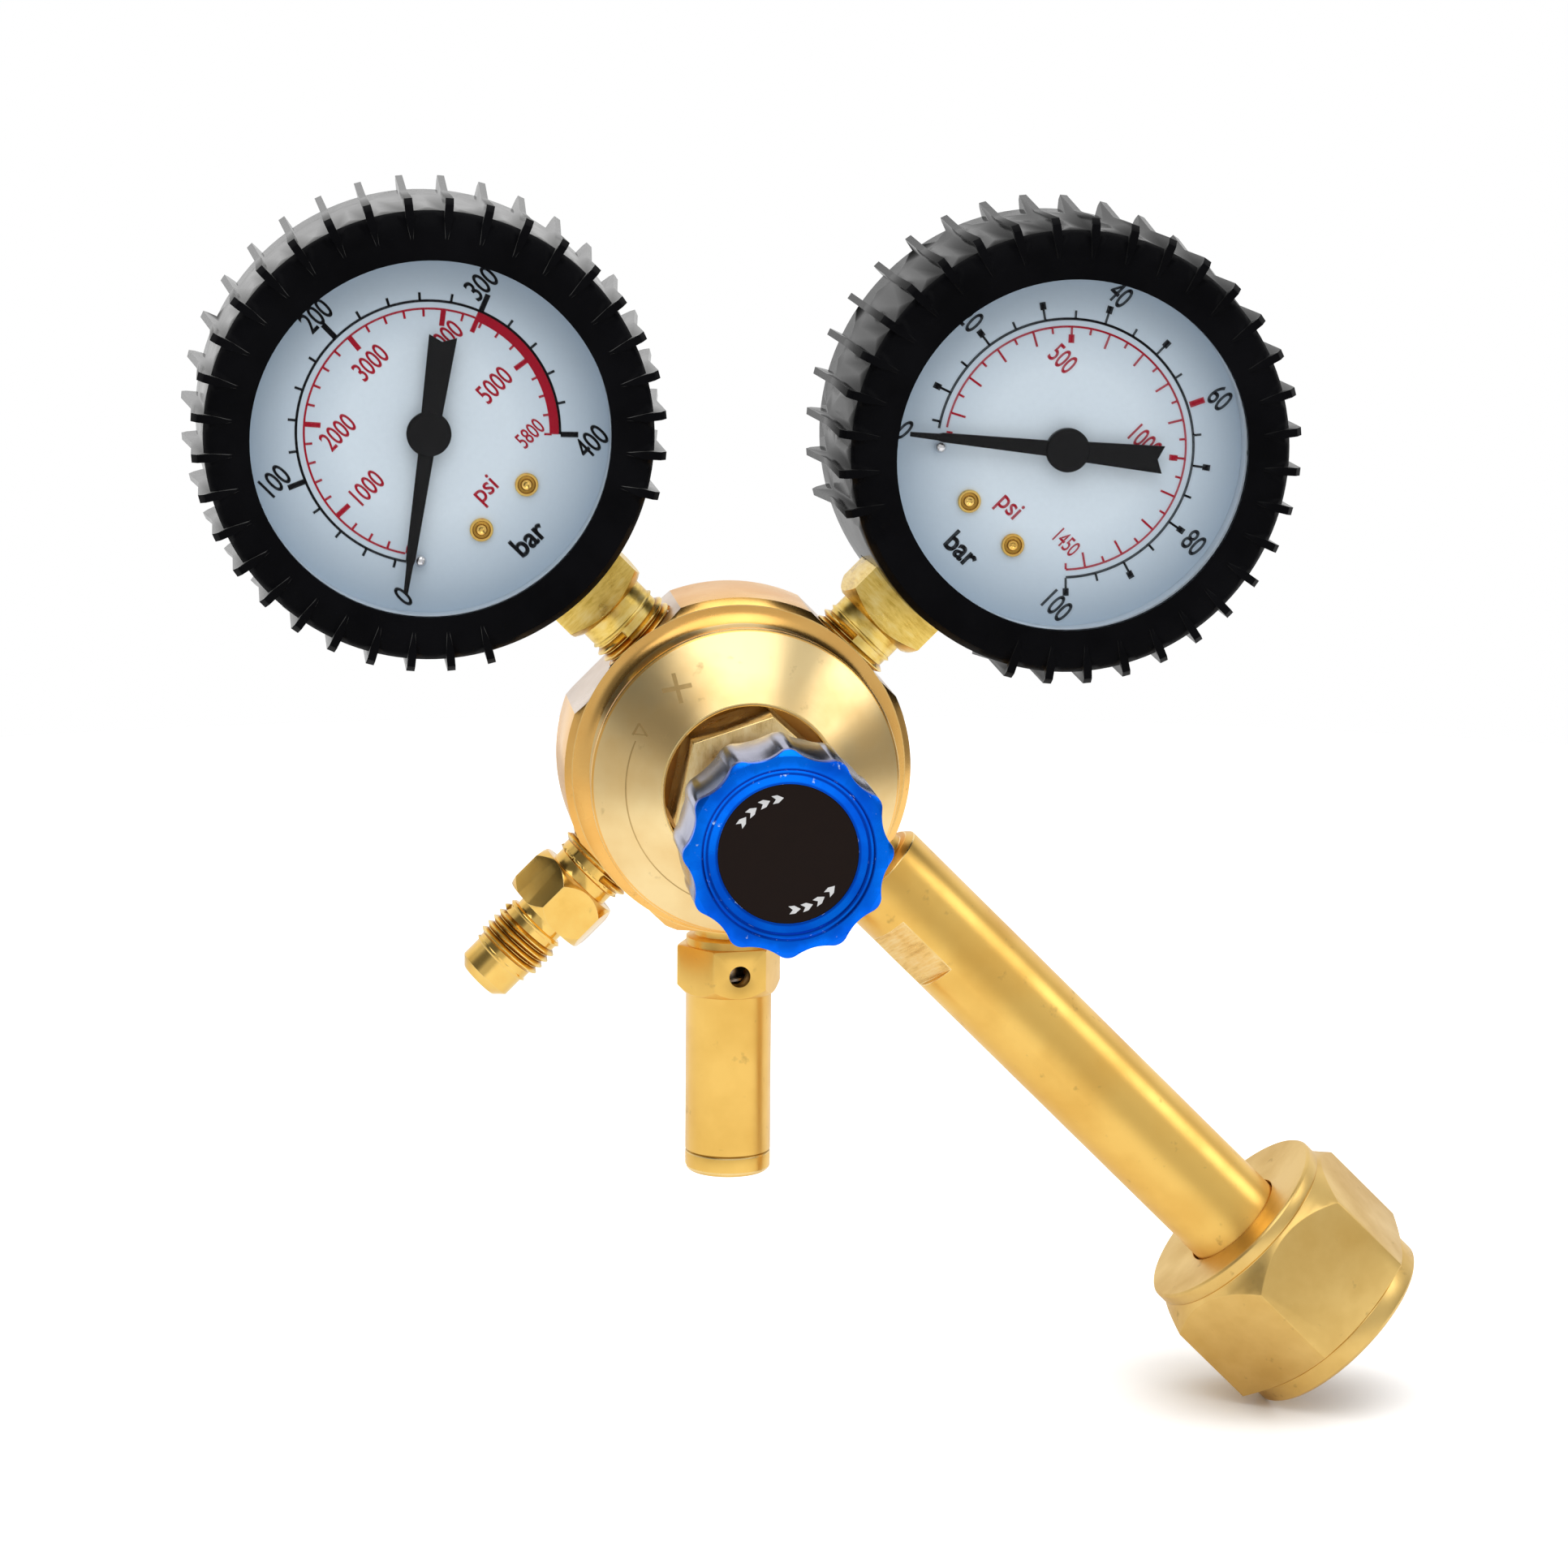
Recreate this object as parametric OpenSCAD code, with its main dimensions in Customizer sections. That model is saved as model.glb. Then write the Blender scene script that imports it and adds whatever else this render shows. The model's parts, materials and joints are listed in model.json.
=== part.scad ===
// Single stage nitrogen regulator with two gauges, relief valve, outlet and long inlet stem.
// Millimetres. +Z is up, the hand knob faces -Y, and the gauges stand at the upper left and right.
// Everything is drawn round the crossing of the body axis and the port plane,
// and then moved so that the origin is the seat of the inlet nipple.

/* [Body] */
// Diameter of the brass body
body_d = 54; // [53:0.5:58]
// Depth of the body, front face to back
body_depth = 19.9; // [19.5:0.1:24]
// Depth of the port centres below the front face
port_depth = 9.3; // [9.3:0.1:10]
// Turned edge at the front and the back of the body
body_edge = 1; // [0.4:0.1:1.4]
// Depth of the milled port faces below the body's rim
flat_cut = 1.7; // [1.2:0.1:2.2]
// Depth of the face of the contents gauge port below the body's rim
contents_flat_cut = 2.6; // [2:0.1:3.4]
// Sideways offset of the supply drilling, which joins inlet and contents gauge
supply_offset = 3.65; // [2.6:0.05:4]
// Sideways offset of the outlet port
outlet_offset = 3.75; // [2.5:0.05:4.5]
// Outside radius of the pipe threads in the ports
port_thread_r = 6.55; // [6.3:0.05:6.8]
// Length of pipe thread held in the body
port_thread_hold = 7.1; // [6:0.1:7.2]

/* [Bonnet] */
// Width of the body's face left bare round the bonnet's foot
bonnet_margin = 1; // [0.8:0.1:2]
// Radius of the cove between the bonnet's foot and its waist
bonnet_cove_r = 3.6; // [3:0.1:4.5]
// Overhang of the bonnet's disc past its waist
bonnet_overhang = 1.4; // [0.9:0.1:2.2]
// Height of the disc's front edge above the body
bonnet_disc_h = 10; // [9:0.1:11.5]
// Height of the rim of the front recess above the body
bonnet_rim_h = 18; // [16.5:0.1:19.5]
// Radius of the front recess
recess_r = 13.2; // [12.9:0.1:13.6]
// Height of the floor of the front recess above the body
recess_floor_h = 9; // [8:0.1:10]
// Wall under the gland nut
bonnet_web = 4; // [3:0.1:4.5]

/* [Pressure setting] */
// Width across the flats of the gland nut
gland_af = 22; // [21.5:0.1:22.4]
// Height of the gland nut's front above the body
gland_top_h = 23; // [22:0.1:25]
// Radius of the adjusting screw
screw_r = 5; // [4:0.1:5.5]
// Advance of the adjusting screw in one turn
screw_pitch = 1.25; // [1:0.05:1.5]
// Wire of the range spring
range_wire = 2; // [1.6:0.1:2.2]
// Outside radius of the range spring
range_r = 8; // [7.6:0.1:8.2]
// Length of the range spring when it is slack
range_length = 15.4; // [14.5:0.1:15.4]
// Thickness of the spring button
button_t = 2.8; // [2.2:0.1:3.2]

/* [Knob] */
// Radius over the knob's lobes
knob_r = 15.15; // [14:0.1:17]
// Depth of the scallops between the lobes
scallop_depth = 1.15; // [0.9:0.05:1.5]
// Number of lobes
knob_lobes = 12; // [11:1:14]
// Height of the knob's back above the body when the spring is slack
knob_back_h = 48; // [40:0.5:55]
// Depth of the knob, with its coloured face
knob_depth = 18.4; // [16:0.2:24]
// Thickness of the coloured face
knob_face_t = 2; // [1.6:0.1:3]
// Radius of the round label in the face
label_r = 10.1; // [8:0.1:11]

/* [Valve] */
// Width of the diaphragm's rim outside its wetted chamber
clamp_width = 7.05; // [6.8:0.05:8]
// Radius of the high pressure chamber round the valve
supply_chamber_r = 5.2; // [4.8:0.1:5.6]
// Radius of the screwed valve seat
seat_r = 7; // [6.4:0.1:7.4]
// Radius of the seat's orifice
orifice_r = 1.4; // [1.2:0.05:1.8]
// Lift of the valve poppet
poppet_lift = 0.8; // [0.4:0.1:1]

/* [Inlet] */
// Radius of the inlet stem
stem_r = 8.25; // [7.6:0.05:8.6]
// Length of the undercut between the port face and the thick stem
stem_undercut = 2.5; // [2:0.1:5]
// Length of the inlet stem from the port face to the back of the nut
stem_length = 85.7; // [65:0.5:105]
// Length of the inlet nut
nut_length = 26; // [24:0.5:32]
// Width across the flats of the inlet nut
nut_af = 34.2; // [33:0.1:35]
// Radius of the round collars at both ends of the nut
nut_collar_r = 17; // [15.5:0.1:17.2]
// Radius of the nut's thread
nut_thread_r = 12.16; // [11.9:0.02:13]
// Thickness of the nut's back wall
nut_wall = 3.5; // [3:0.1:4.5]
// Radius of the nipple that enters the cylinder valve
nipple_r = 7.95; // [7.2:0.05:8.6]
// Length of the nipple past the stem's collar
nipple_length = 8; // [6:0.5:10]
// Radius of the gas bore in the stem
stem_bore_r = 3; // [2:0.1:3.5]
// Width across the wrench flats on the stem
stem_af = 14.1; // [13:0.1:15]
// Length of the wrench flats on the stem
stem_flat_length = 10.8; // [8:0.2:16]

/* [Outlet] */
// Width across the flats of the outlet fitting
outlet_af = 14; // [13:0.1:15]
// Length of the outlet fitting's hexagon
outlet_hex_length = 7.8; // [7:0.1:9]
// Radius over the outlet thread
flare_thread_r = 5.55; // [5.3:0.05:6]
// Length of the outlet thread
flare_thread_length = 8.4; // [6:0.1:10]
// Radius of the plain nose past the outlet thread
nose_r = 4.6; // [4:0.05:5]
// Length of the nose with its cone
nose_length = 4.6; // [3:0.1:6]
// Radius of the gas bore in the outlet fitting
outlet_bore_r = 2.3; // [1.5:0.1:2.8]

/* [Relief valve] */
// Sideways offset of the relief valve's port
relief_offset = -0.4; // [-1:0.1:1]
// Width across the flats of the relief valve
relief_af = 14.5; // [14:0.1:16]
// Height of the relief valve's hexagon
relief_hex_length = 7.7; // [6.5:0.1:9]
// Radius of the relief valve's barrel
relief_r = 6.75; // [6.5:0.05:7]
// Length of the barrel, without the hexagon and the cap
relief_barrel_length = 25.5; // [22:0.1:30]
// Height of the cap's outer rim
relief_cap_length = 3.5; // [2.5:0.1:5]
// Radius of the spring bore in the barrel
relief_bore_r = 4.4; // [4.1:0.05:4.6]
// Radius of the vent hole across the hexagon
vent_r = 1.7; // [1.2:0.05:2]
// Lift of the relief poppet
relief_lift = 2; // [1:0.1:3]

/* [Gauges] */
// Gap between the port faces' radius and the contents gauge's case
contents_gap = 14.7; // [14.1:0.1:16]
// Gap between the port face and the delivery gauge's case
delivery_gap = 14.1; // [13.9:0.1:16]
// Outside radius of the steel gauge case
case_r = 31.4; // [31:0.1:32]
// Wall of the gauge case
case_wall = 0.8; // [0.6:0.05:1.2]
// Distance from the stem axis to the back of the gauge case
case_back = 12; // [11.5:0.1:13]
// Distance from the stem axis to the front of the bezel
bezel_front = 16.4; // [16:0.1:17]
// Distance from the stem axis to the printed face of the dial
dial_front = 10.9; // [10.6:0.1:11.3]
// Thickness of the clear lens
lens_t = 1.5; // [1.2:0.1:1.8]
// Turn of the pointer from its stop pin to the end of the scale
pointer_sweep = 263; // [240:1:270]
// Angle at which the contents pointer rests
contents_rest = 216.5; // [210:0.5:225]
// Angle at which the delivery pointer rests
delivery_rest = 218.9; // [210:0.1:225]
// Width of the square gauge socket
socket_w = 14; // [13:0.1:15]
// Length of the square socket below the gauge case
socket_drop = 8.7; // [7.6:0.1:9.4]

/* [Gauge boots] */
// Wall of the rubber boot round the gauge, at its front edge
boot_wall = 2.6; // [2.4:0.1:4]
// Growth of the boot's radius from front to back
boot_flare = 1; // [0:0.1:1.6]
// Width of the boot's lip in front of the bezel
boot_lip_w = 4; // [3.6:0.1:4.6]
// Distance from the stem axis to the back of the boot
boot_back = 15; // [14:0.1:16]
// Height of the ribs at the front edge
rib_front = 1.9; // [1:0.1:2.6]
// Height of the ribs at the back
rib_back = 2.3; // [1.4:0.1:3]
// Thickness of the ribs
rib_t = 1.4; // [1:0.1:2]
// Number of places for ribs round the boot
rib_places = 36; // [30:1:40]

/* [Gauge works] */
// Module of the pinion and the sector
gear_module = 0.35; // [0.34:0.005:0.36]
// Teeth of the pinion
pinion_teeth = 10; // [10:1:11]
// Teeth that the sector would have as a whole wheel
sector_teeth = 80; // [78:1:82]
// Distance of the curved pressure tube inside the case's radius
tube_inset = 9.9; // [9.4:0.1:10.2]

/* [Hidden] */
$fn = 96;

// Clearances
seat_gap = 0.05;
loose_gap = 0.3;
cut = 1;

// Directions of the five ports, seen from the front
inlet_angle = 315;
outlet_angle = 225;
relief_angle = 270;
contents_angle = 135;
delivery_angle = 45;

// Colours
brass = [0.83, 0.66, 0.36];
bright_brass = [0.88, 0.72, 0.38];
steel = [0.7, 0.71, 0.73];
rubber = [0.07, 0.07, 0.08];
pale = [0.86, 0.9, 0.94];

// Radii that follow the body and the gauge case
body_r = body_d / 2;
bonnet_foot_r = body_r - bonnet_margin;
bonnet_waist_r = bonnet_foot_r - bonnet_cove_r;
bonnet_disc_r = bonnet_waist_r + bonnet_overhang;
boot_r = case_r + boot_wall;
boot_window_r = case_r - boot_lip_w;
tube_r = case_r - tube_inset;

// Distances along the port axes, which follow the body
flat_reach = body_r - flat_cut;
contents_flat_reach = body_r - contents_flat_cut;
thread_start = flat_reach - port_thread_hold;
port_bottom = thread_start - 0.5;
contents_reach = flat_reach + contents_gap + case_r;
delivery_reach = flat_reach + delivery_gap + case_r;
socket_reach = case_r + socket_drop;

// Heights above the body's front face
recess_margin = 6.95;
recess_r_body = body_r - recess_margin;
chamber_r = recess_r_body - clamp_width;
recess_depth = 1.9;
diaphragm_t = 0.6;
slip_t = 0.5;
spigot_h = recess_depth - diaphragm_t - slip_t;
chamber_depth = 4;
seat_depth = 3.4;
supply_floor = 16.5;
plate_t = 1.9;
plate_top = plate_t - spigot_h - slip_t;
spring_top = plate_top + range_length;
button_top = spring_top + button_t;
gland_spigot_r = 10.4;
gland_bore_r = 8.5;
gland_web_h = max(button_top + 0.2, gland_top_h - 4);
visible_thread = 2.6;
neck_r = 5.5;
supply_bore_r = 2;
passage_r = 1.5;
passage_reach = chamber_r - 2;

// Distances along the inlet stem
stem_start = flat_reach + stem_undercut;
nut_start = flat_reach + stem_length;
nut_inside = nut_start + nut_wall;
stem_collar_r = 11.4;
stem_collar_t = 3.5;
nipple_start = nut_inside + seat_gap + stem_collar_t;
nipple_end = nipple_start + nipple_length;
stem_flat_start = stem_start + 8.3;
stem_flat_turn = 50;
filter_r = stem_bore_r + 1;
filter_length = 4;

// The origin is the foot of the nipple, on the inlet axis
function axis_point(a, off, s) = [s * cos(a) - off * sin(a), 0, s * sin(a) + off * cos(a)];
origin = axis_point(inlet_angle, supply_offset, nipple_start);

// Frame of a piece on the body axis, z forward from the body's front face
module forward(h = 0) {
    translate([0, -port_depth - h, 0]) rotate([90, 0, 0]) children();
}

// Frame of a piece in a port, z outward along the port's axis from the body axis
module port(angle, offset) {
    rotate([0, 90 - angle, 0]) translate([-offset, 0, 0]) children();
}

// Turned shape given as radius and height pairs
module turned(points) {
    rotate_extrude() polygon(points);
}

// Hexagonal bar with its ends turned to a cone
module hex_bar(af, length, start_r, end_r, slope) {
    corner = af / sqrt(3);
    intersection() {
        cylinder(h = length, r = corner, $fn = 6);
        turned([[0, 0], [start_r, 0], [corner + 0.01, (corner + 0.01 - start_r) * slope],
            [corner + 0.01, length - (corner + 0.01 - end_r) * slope], [end_r, length], [0, length]]);
    }
}

// Round wire wound about z, with both end turns closed up
function wound_height(t, turns, length, wire) =
    let (closed = wire * 1.06, active = (length - wire - 2 * closed) / (turns - 2))
    t < 1 ? wire / 2 + closed * t
    : t > turns - 1 ? length - wire / 2 - closed * (turns - t)
    : wire / 2 + closed + active * (t - 1);

module wound_wire(mean_r, wire, turns, length, steps, sides) {
    count = turns * steps;
    rings = [for (i = [0:count]) let (t = i / steps, z = wound_height(t, turns, length, wire))
        [for (j = [0:sides - 1]) let (a = 360 * j / sides, r = mean_r + wire / 2 * cos(a))
            [r * cos(360 * t), r * sin(360 * t), z + wire / 2 * sin(a)]]];
    points = [for (ring = rings) for (point = ring) point];
    walls = [for (i = [0:count - 1]) for (j = [0:sides - 1]) let (k = (j + 1) % sides)
        [i * sides + j, (i + 1) * sides + j, (i + 1) * sides + k, i * sides + k]];
    start = [[for (j = [0:sides - 1]) j]];
    end = [[for (j = [sides - 1:-1:0]) count * sides + j]];
    polyhedron(points, concat(walls, start, end));
}

// Body with its five ports, its drillings and the chambers of the valve
module body() {
    color(brass) difference() {
        forward(-body_depth) turned([[0, 0], [body_d / 2 - 0.6, 0], [body_d / 2, 0.6],
            [body_d / 2, body_depth - body_edge], [body_d / 2 - body_edge, body_depth], [0, body_depth]]);
        for (a = [inlet_angle, outlet_angle, relief_angle, delivery_angle]) port(a, 0)
            translate([-body_d / 2, -body_d / 2, flat_reach]) cube([body_d, body_d, body_d / 2]);
        port(contents_angle, 0) translate([-body_d / 2, -body_d / 2, contents_flat_reach])
            cube([body_d, body_d, body_d / 2]);
        port_hole(inlet_angle, supply_offset);
        port_hole(outlet_angle, -outlet_offset);
        port_hole(relief_angle, relief_offset);
        port_hole(contents_angle, -supply_offset);
        port_hole(delivery_angle, 0);
        port(inlet_angle, supply_offset) cylinder(h = port_bottom + cut, r = supply_bore_r);
        port(contents_angle, -supply_offset) cylinder(h = port_bottom + cut, r = supply_bore_r);
        low_passage(outlet_angle, -outlet_offset);
        low_passage(relief_angle, relief_offset);
        low_passage(delivery_angle, 0);
        forward(-recess_depth) cylinder(h = recess_depth + cut, r = recess_r_body);
        forward(-chamber_depth) cylinder(h = chamber_depth, r = chamber_r);
        forward(-chamber_depth - seat_depth) cylinder(h = seat_depth + cut, r = seat_r + seat_gap);
        forward(-supply_floor) cylinder(h = supply_floor - chamber_depth, r = supply_chamber_r);
    }
}

module port_hole(angle, offset) {
    port(angle, offset) translate([0, 0, port_bottom])
        cylinder(h = body_d / 2, r = port_thread_r + seat_gap);
}

// Drilling from the low pressure chamber into a port
module low_passage(angle, offset) {
    port(angle, offset) translate([0, 0, passage_reach]) {
        cylinder(h = port_bottom - passage_reach + cut, r = passage_r);
        rotate([90, 0, 0]) cylinder(h = port_depth - chamber_depth + cut, r = passage_r);
    }
}

// Bonnet, a turned disc on a coved foot with a deep recess for the gland nut
module bonnet() {
    cove = bonnet_cove_r;
    step_h = bonnet_disc_h - 1.8;
    spring_room_h = recess_floor_h - bonnet_web;
    color(bright_brass) forward() difference() {
        union() {
            turned([[0, 0], [bonnet_foot_r, 0], [bonnet_waist_r, cove], [bonnet_waist_r, step_h],
                [bonnet_disc_r - 0.3, step_h], [bonnet_disc_r, step_h + 0.3],
                [bonnet_disc_r, bonnet_disc_h - 0.4], [bonnet_disc_r - 0.4, bonnet_disc_h],
                [recess_r + 0.5, bonnet_rim_h], [0, bonnet_rim_h]]);
            translate([0, 0, -spigot_h]) cylinder(h = spigot_h + cut, r = recess_r_body - seat_gap);
        }
        translate([0, 0, cove]) rotate_extrude() translate([bonnet_foot_r, 0]) circle(r = cove);
        translate([0, 0, -spigot_h - cut]) cylinder(h = cut + spigot_h + 3, r = chamber_r + 1);
        cylinder(h = bonnet_rim_h, r = gland_spigot_r + seat_gap);
        translate([0, 0, spring_room_h + bonnet_web]) cylinder(h = bonnet_rim_h, r = recess_r);
    }
}

// Gland nut screwed into the recess, which carries the adjusting screw
module gland_nut() {
    start = recess_floor_h - bonnet_web;
    color(bright_brass) forward() difference() {
        union() {
            translate([0, 0, start]) cylinder(h = bonnet_web + cut, r = gland_spigot_r);
            translate([0, 0, recess_floor_h]) rotate([0, 0, 18])
                cylinder(h = gland_top_h - recess_floor_h, r = gland_af / sqrt(3), $fn = 6);
        }
        translate([0, 0, start - cut]) cylinder(h = gland_web_h - start + cut, r = gland_bore_r);
        cylinder(h = gland_top_h + cut, r = screw_r + seat_gap);
    }
}

module diaphragm() {
    color([0.55, 0.3, 0.2]) forward(-recess_depth)
        cylinder(h = diaphragm_t, r = recess_r_body - 2 * seat_gap);
}

module slip_ring() {
    color(steel) forward(-recess_depth + diaphragm_t) difference() {
        cylinder(h = slip_t, r = recess_r_body - 2 * seat_gap);
        translate([0, 0, -cut]) cylinder(h = slip_t + 2 * cut, r = chamber_r + 1);
    }
}

// Plate that spreads the spring's load over the diaphragm
module diaphragm_plate() {
    guide_r = range_r - range_wire - 0.3;
    color(brass) forward(-recess_depth + diaphragm_t)
        turned([[0, 0], [chamber_r - 0.6, 0], [chamber_r, 0.6], [chamber_r, plate_t],
            [guide_r, plate_t], [guide_r - 0.6, plate_t + 2], [0, plate_t + 2]]);
}

module range_spring() {
    color(steel) forward(plate_top)
        wound_wire(range_r - range_wire / 2, range_wire, 6, range_length, 24, 10);
}

// Button on the spring, with a dimple that takes the end of the screw
module spring_button() {
    guide_r = range_r - range_wire - 0.3;
    color(brass) forward(spring_top)
        turned([[0, -2], [guide_r - 0.6, -2], [guide_r, 0], [gland_bore_r - 0.4, 0],
            [gland_bore_r - 0.4, button_t - 0.6], [gland_bore_r - 1, button_t],
            [2.2, button_t], [0, button_t - 1.3]]);
}

// Adjusting screw, with a cone at its end and its head in the knob
module adjusting_screw() {
    head_h = knob_back_h + knob_depth - knob_face_t - 3;
    color(brass) forward() turned([[0, button_top - 1.3 + seat_gap], [2.1, button_top + seat_gap],
        [screw_r - 0.8, button_top + seat_gap], [screw_r, button_top + 0.8],
        [screw_r, head_h], [0, head_h]]);
}

// Outline of the knob, twelve round lobes with a hollow between each two
module knob_outline() {
    tip_r = 2;
    tip_reach = knob_r - tip_r;
    valley = knob_r - scallop_depth;
    c = cos(180 / knob_lobes);
    hollow_r = (tip_reach * tip_reach + valley * valley - 2 * tip_reach * valley * c - tip_r * tip_r)
        / (2 * tip_r - 2 * valley + 2 * tip_reach * c);
    difference() {
        polygon([for (i = [0:2 * knob_lobes - 1])
            let (r = i % 2 == 0 ? tip_reach : valley + hollow_r, a = 180 / knob_lobes * i)
            [r * cos(a), r * sin(a)]]);
        for (i = [0:knob_lobes - 1]) rotate(360 / knob_lobes * (i + 0.5))
            translate([valley + hollow_r, 0]) circle(r = hollow_r);
    }
    for (i = [0:knob_lobes - 1]) rotate(360 / knob_lobes * i)
        translate([tip_reach, 0]) circle(r = tip_r);
}

// Metal part of the knob, bored for the adjusting screw
module knob() {
    length = knob_depth - knob_face_t;
    color(steel) forward(knob_back_h) difference() {
        intersection() {
            linear_extrude(length) knob_outline();
            turned([[0, 0], [knob_r - 2.4, 0], [knob_r - 1, 1.2], [knob_r + 0.5, 4],
                [knob_r + 0.5, length], [0, length]]);
        }
        translate([0, 0, -cut]) cylinder(h = length - 3 + cut, r = screw_r);
        translate([0, 0, -cut]) cylinder(h = 5 + cut, r1 = 9.5, r2 = 8.5);
    }
}

// Coloured face of the knob, with two turned grooves and a seat for the label
module knob_face() {
    edge = 0.6;
    color([0.05, 0.35, 0.9]) forward(knob_back_h + knob_depth - knob_face_t) difference() {
        intersection() {
            linear_extrude(knob_face_t) knob_outline();
            turned([[0, 0], [knob_r + 0.2, 0], [knob_r + 0.2, knob_face_t - edge],
                [knob_r - 0.9, knob_face_t], [0, knob_face_t]]);
        }
        translate([0, 0, knob_face_t]) turned([[0, -0.7], [label_r + 1.5, -0.7],
            [label_r + 1.5, -0.35], [label_r + 2.1, -0.35], [label_r + 2.3, 0], [label_r + 2.3, cut], [0, cut]]);
        translate([0, 0, knob_face_t - 1]) cylinder(h = 1 + cut, r = label_r + seat_gap);
    }
}

module knob_label() {
    color([0.12, 0.1, 0.1]) forward(knob_back_h + knob_depth - 1) cylinder(h = 0.25, r = label_r);
}

// Screwed seat of the valve, with its orifice
module valve_seat() {
    color(bright_brass) forward(-chamber_depth - seat_depth) difference() {
        union() {
            cylinder(h = seat_depth, r = seat_r);
            cylinder(h = seat_depth + 0.6, r = 3.2);
        }
        translate([0, 0, -cut]) cylinder(h = seat_depth + 3 * cut, r = orifice_r);
    }
}

// Valve poppet, its cone on the orifice and its pin under the diaphragm
module valve_poppet() {
    seat_h = -chamber_depth - seat_depth;
    pin_r = orifice_r - 0.5;
    cone_r = orifice_r + 0.4;
    color(steel) forward() turned([[0, seat_h - 7.2], [1.2, seat_h - 7.2], [1.2, seat_h - 5.2], [3, seat_h - 5.2],
        [3, seat_h - 1.6], [cone_r, seat_h - 0.4], [pin_r, seat_h + 0.5],
        [pin_r, -recess_depth - seat_gap], [0, -recess_depth - seat_gap]]);
}

module poppet_spring() {
    length = supply_floor - chamber_depth - seat_depth - 5.2;
    color(steel) forward(-supply_floor) wound_wire(2.2, 0.5, 5, length, 20, 8);
}

// Inlet stem: threaded end, undercut, thick tube with two wrench flats, collar and nipple
module inlet_stem() {
    undercut_end = stem_start;
    color(brass) port(inlet_angle, supply_offset) difference() {
        union() {
            turned([[0, thread_start], [port_thread_r - 0.7, thread_start], [port_thread_r, thread_start + 0.7],
                [port_thread_r, flat_reach], [neck_r + 0.6, flat_reach + 0.6], [neck_r + 0.6, undercut_end],
                [stem_r - 1, undercut_end], [stem_r, undercut_end + 1], [stem_r, nut_inside + 1],
                [0, nut_inside + 1]]);
            translate([0, 0, nut_inside + seat_gap]) turned([[0, 0], [stem_collar_r, 0],
                [stem_collar_r, stem_collar_t - 0.8], [stem_collar_r - 0.8, stem_collar_t], [0, stem_collar_t]]);
            translate([0, 0, nipple_start - 1]) turned([[0, 0], [nipple_r, 0],
                [nipple_r, nipple_length - 1], [nipple_r - 2.2, nipple_length + 1], [0, nipple_length + 1]]);
        }
        rotate([0, 0, stem_flat_turn]) for (side = [-1, 1])
            translate([-stem_r - cut, side * (stem_af + stem_r) / 2 - stem_r / 2, stem_flat_start])
                cube([2 * stem_r + 2 * cut, stem_r, stem_flat_length]);
        translate([0, 0, thread_start - cut]) cylinder(h = nipple_end - thread_start + 2 * cut, r = stem_bore_r);
        translate([0, 0, thread_start - cut]) cylinder(h = filter_length + cut, r = filter_r + seat_gap);
    }
}

// Sintered filter in the mouth of the inlet stem
module inlet_filter() {
    color([0.6, 0.5, 0.3]) port(inlet_angle, supply_offset)
        translate([0, 0, thread_start + 0.2]) cylinder(h = filter_length - 0.2, r = filter_r);
}

// Swivel nut on the inlet stem
module inlet_nut() {
    corner = nut_af / sqrt(3);
    back_cone = 4.3;
    front_ring = 3.5;
    nut_turn = 43;
    thread_in = nipple_end - nut_start + 0.45;
    color(brass) port(inlet_angle, supply_offset) translate([0, 0, nut_start]) difference() {
        union() {
            turned([[0, 0.6], [stem_r + 2, 0.6], [nut_collar_r - 0.4, 0], [nut_collar_r, 0.4],
                [nut_collar_r, 2.2], [nut_collar_r - 1.5, 3.4], [nut_collar_r - 1.5, nut_length - front_ring - 1],
                [nut_collar_r, nut_length - front_ring], [nut_collar_r, nut_length - 0.6],
                [nut_collar_r - 0.6, nut_length], [0, nut_length]]);
            intersection() {
                rotate([0, 0, nut_turn]) translate([0, 0, 2.2])
                    cylinder(h = nut_length - front_ring - 2.2, r = corner, $fn = 6);
                turned([[0, 2.2], [nut_collar_r - 0.6, 2.2], [corner + 0.1, 2.2 + back_cone],
                    [corner + 0.1, nut_length - front_ring - 1.2], [nut_collar_r - 0.6, nut_length - front_ring],
                    [0, nut_length - front_ring]]);
            }
        }
        translate([0, 0, -cut]) cylinder(h = nut_length, r = stem_r + 0.35);
        translate([0, 0, nut_wall]) cylinder(h = thread_in - nut_wall, r = nut_thread_r + 0.5);
        translate([0, 0, nut_wall]) cylinder(h = nut_length, r = nut_thread_r);
        translate([0, 0, nut_length - 1.2]) cylinder(h = 1.2 + cut, r1 = nut_thread_r - 0.02, r2 = nut_thread_r + 1.6);
    }
}

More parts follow.
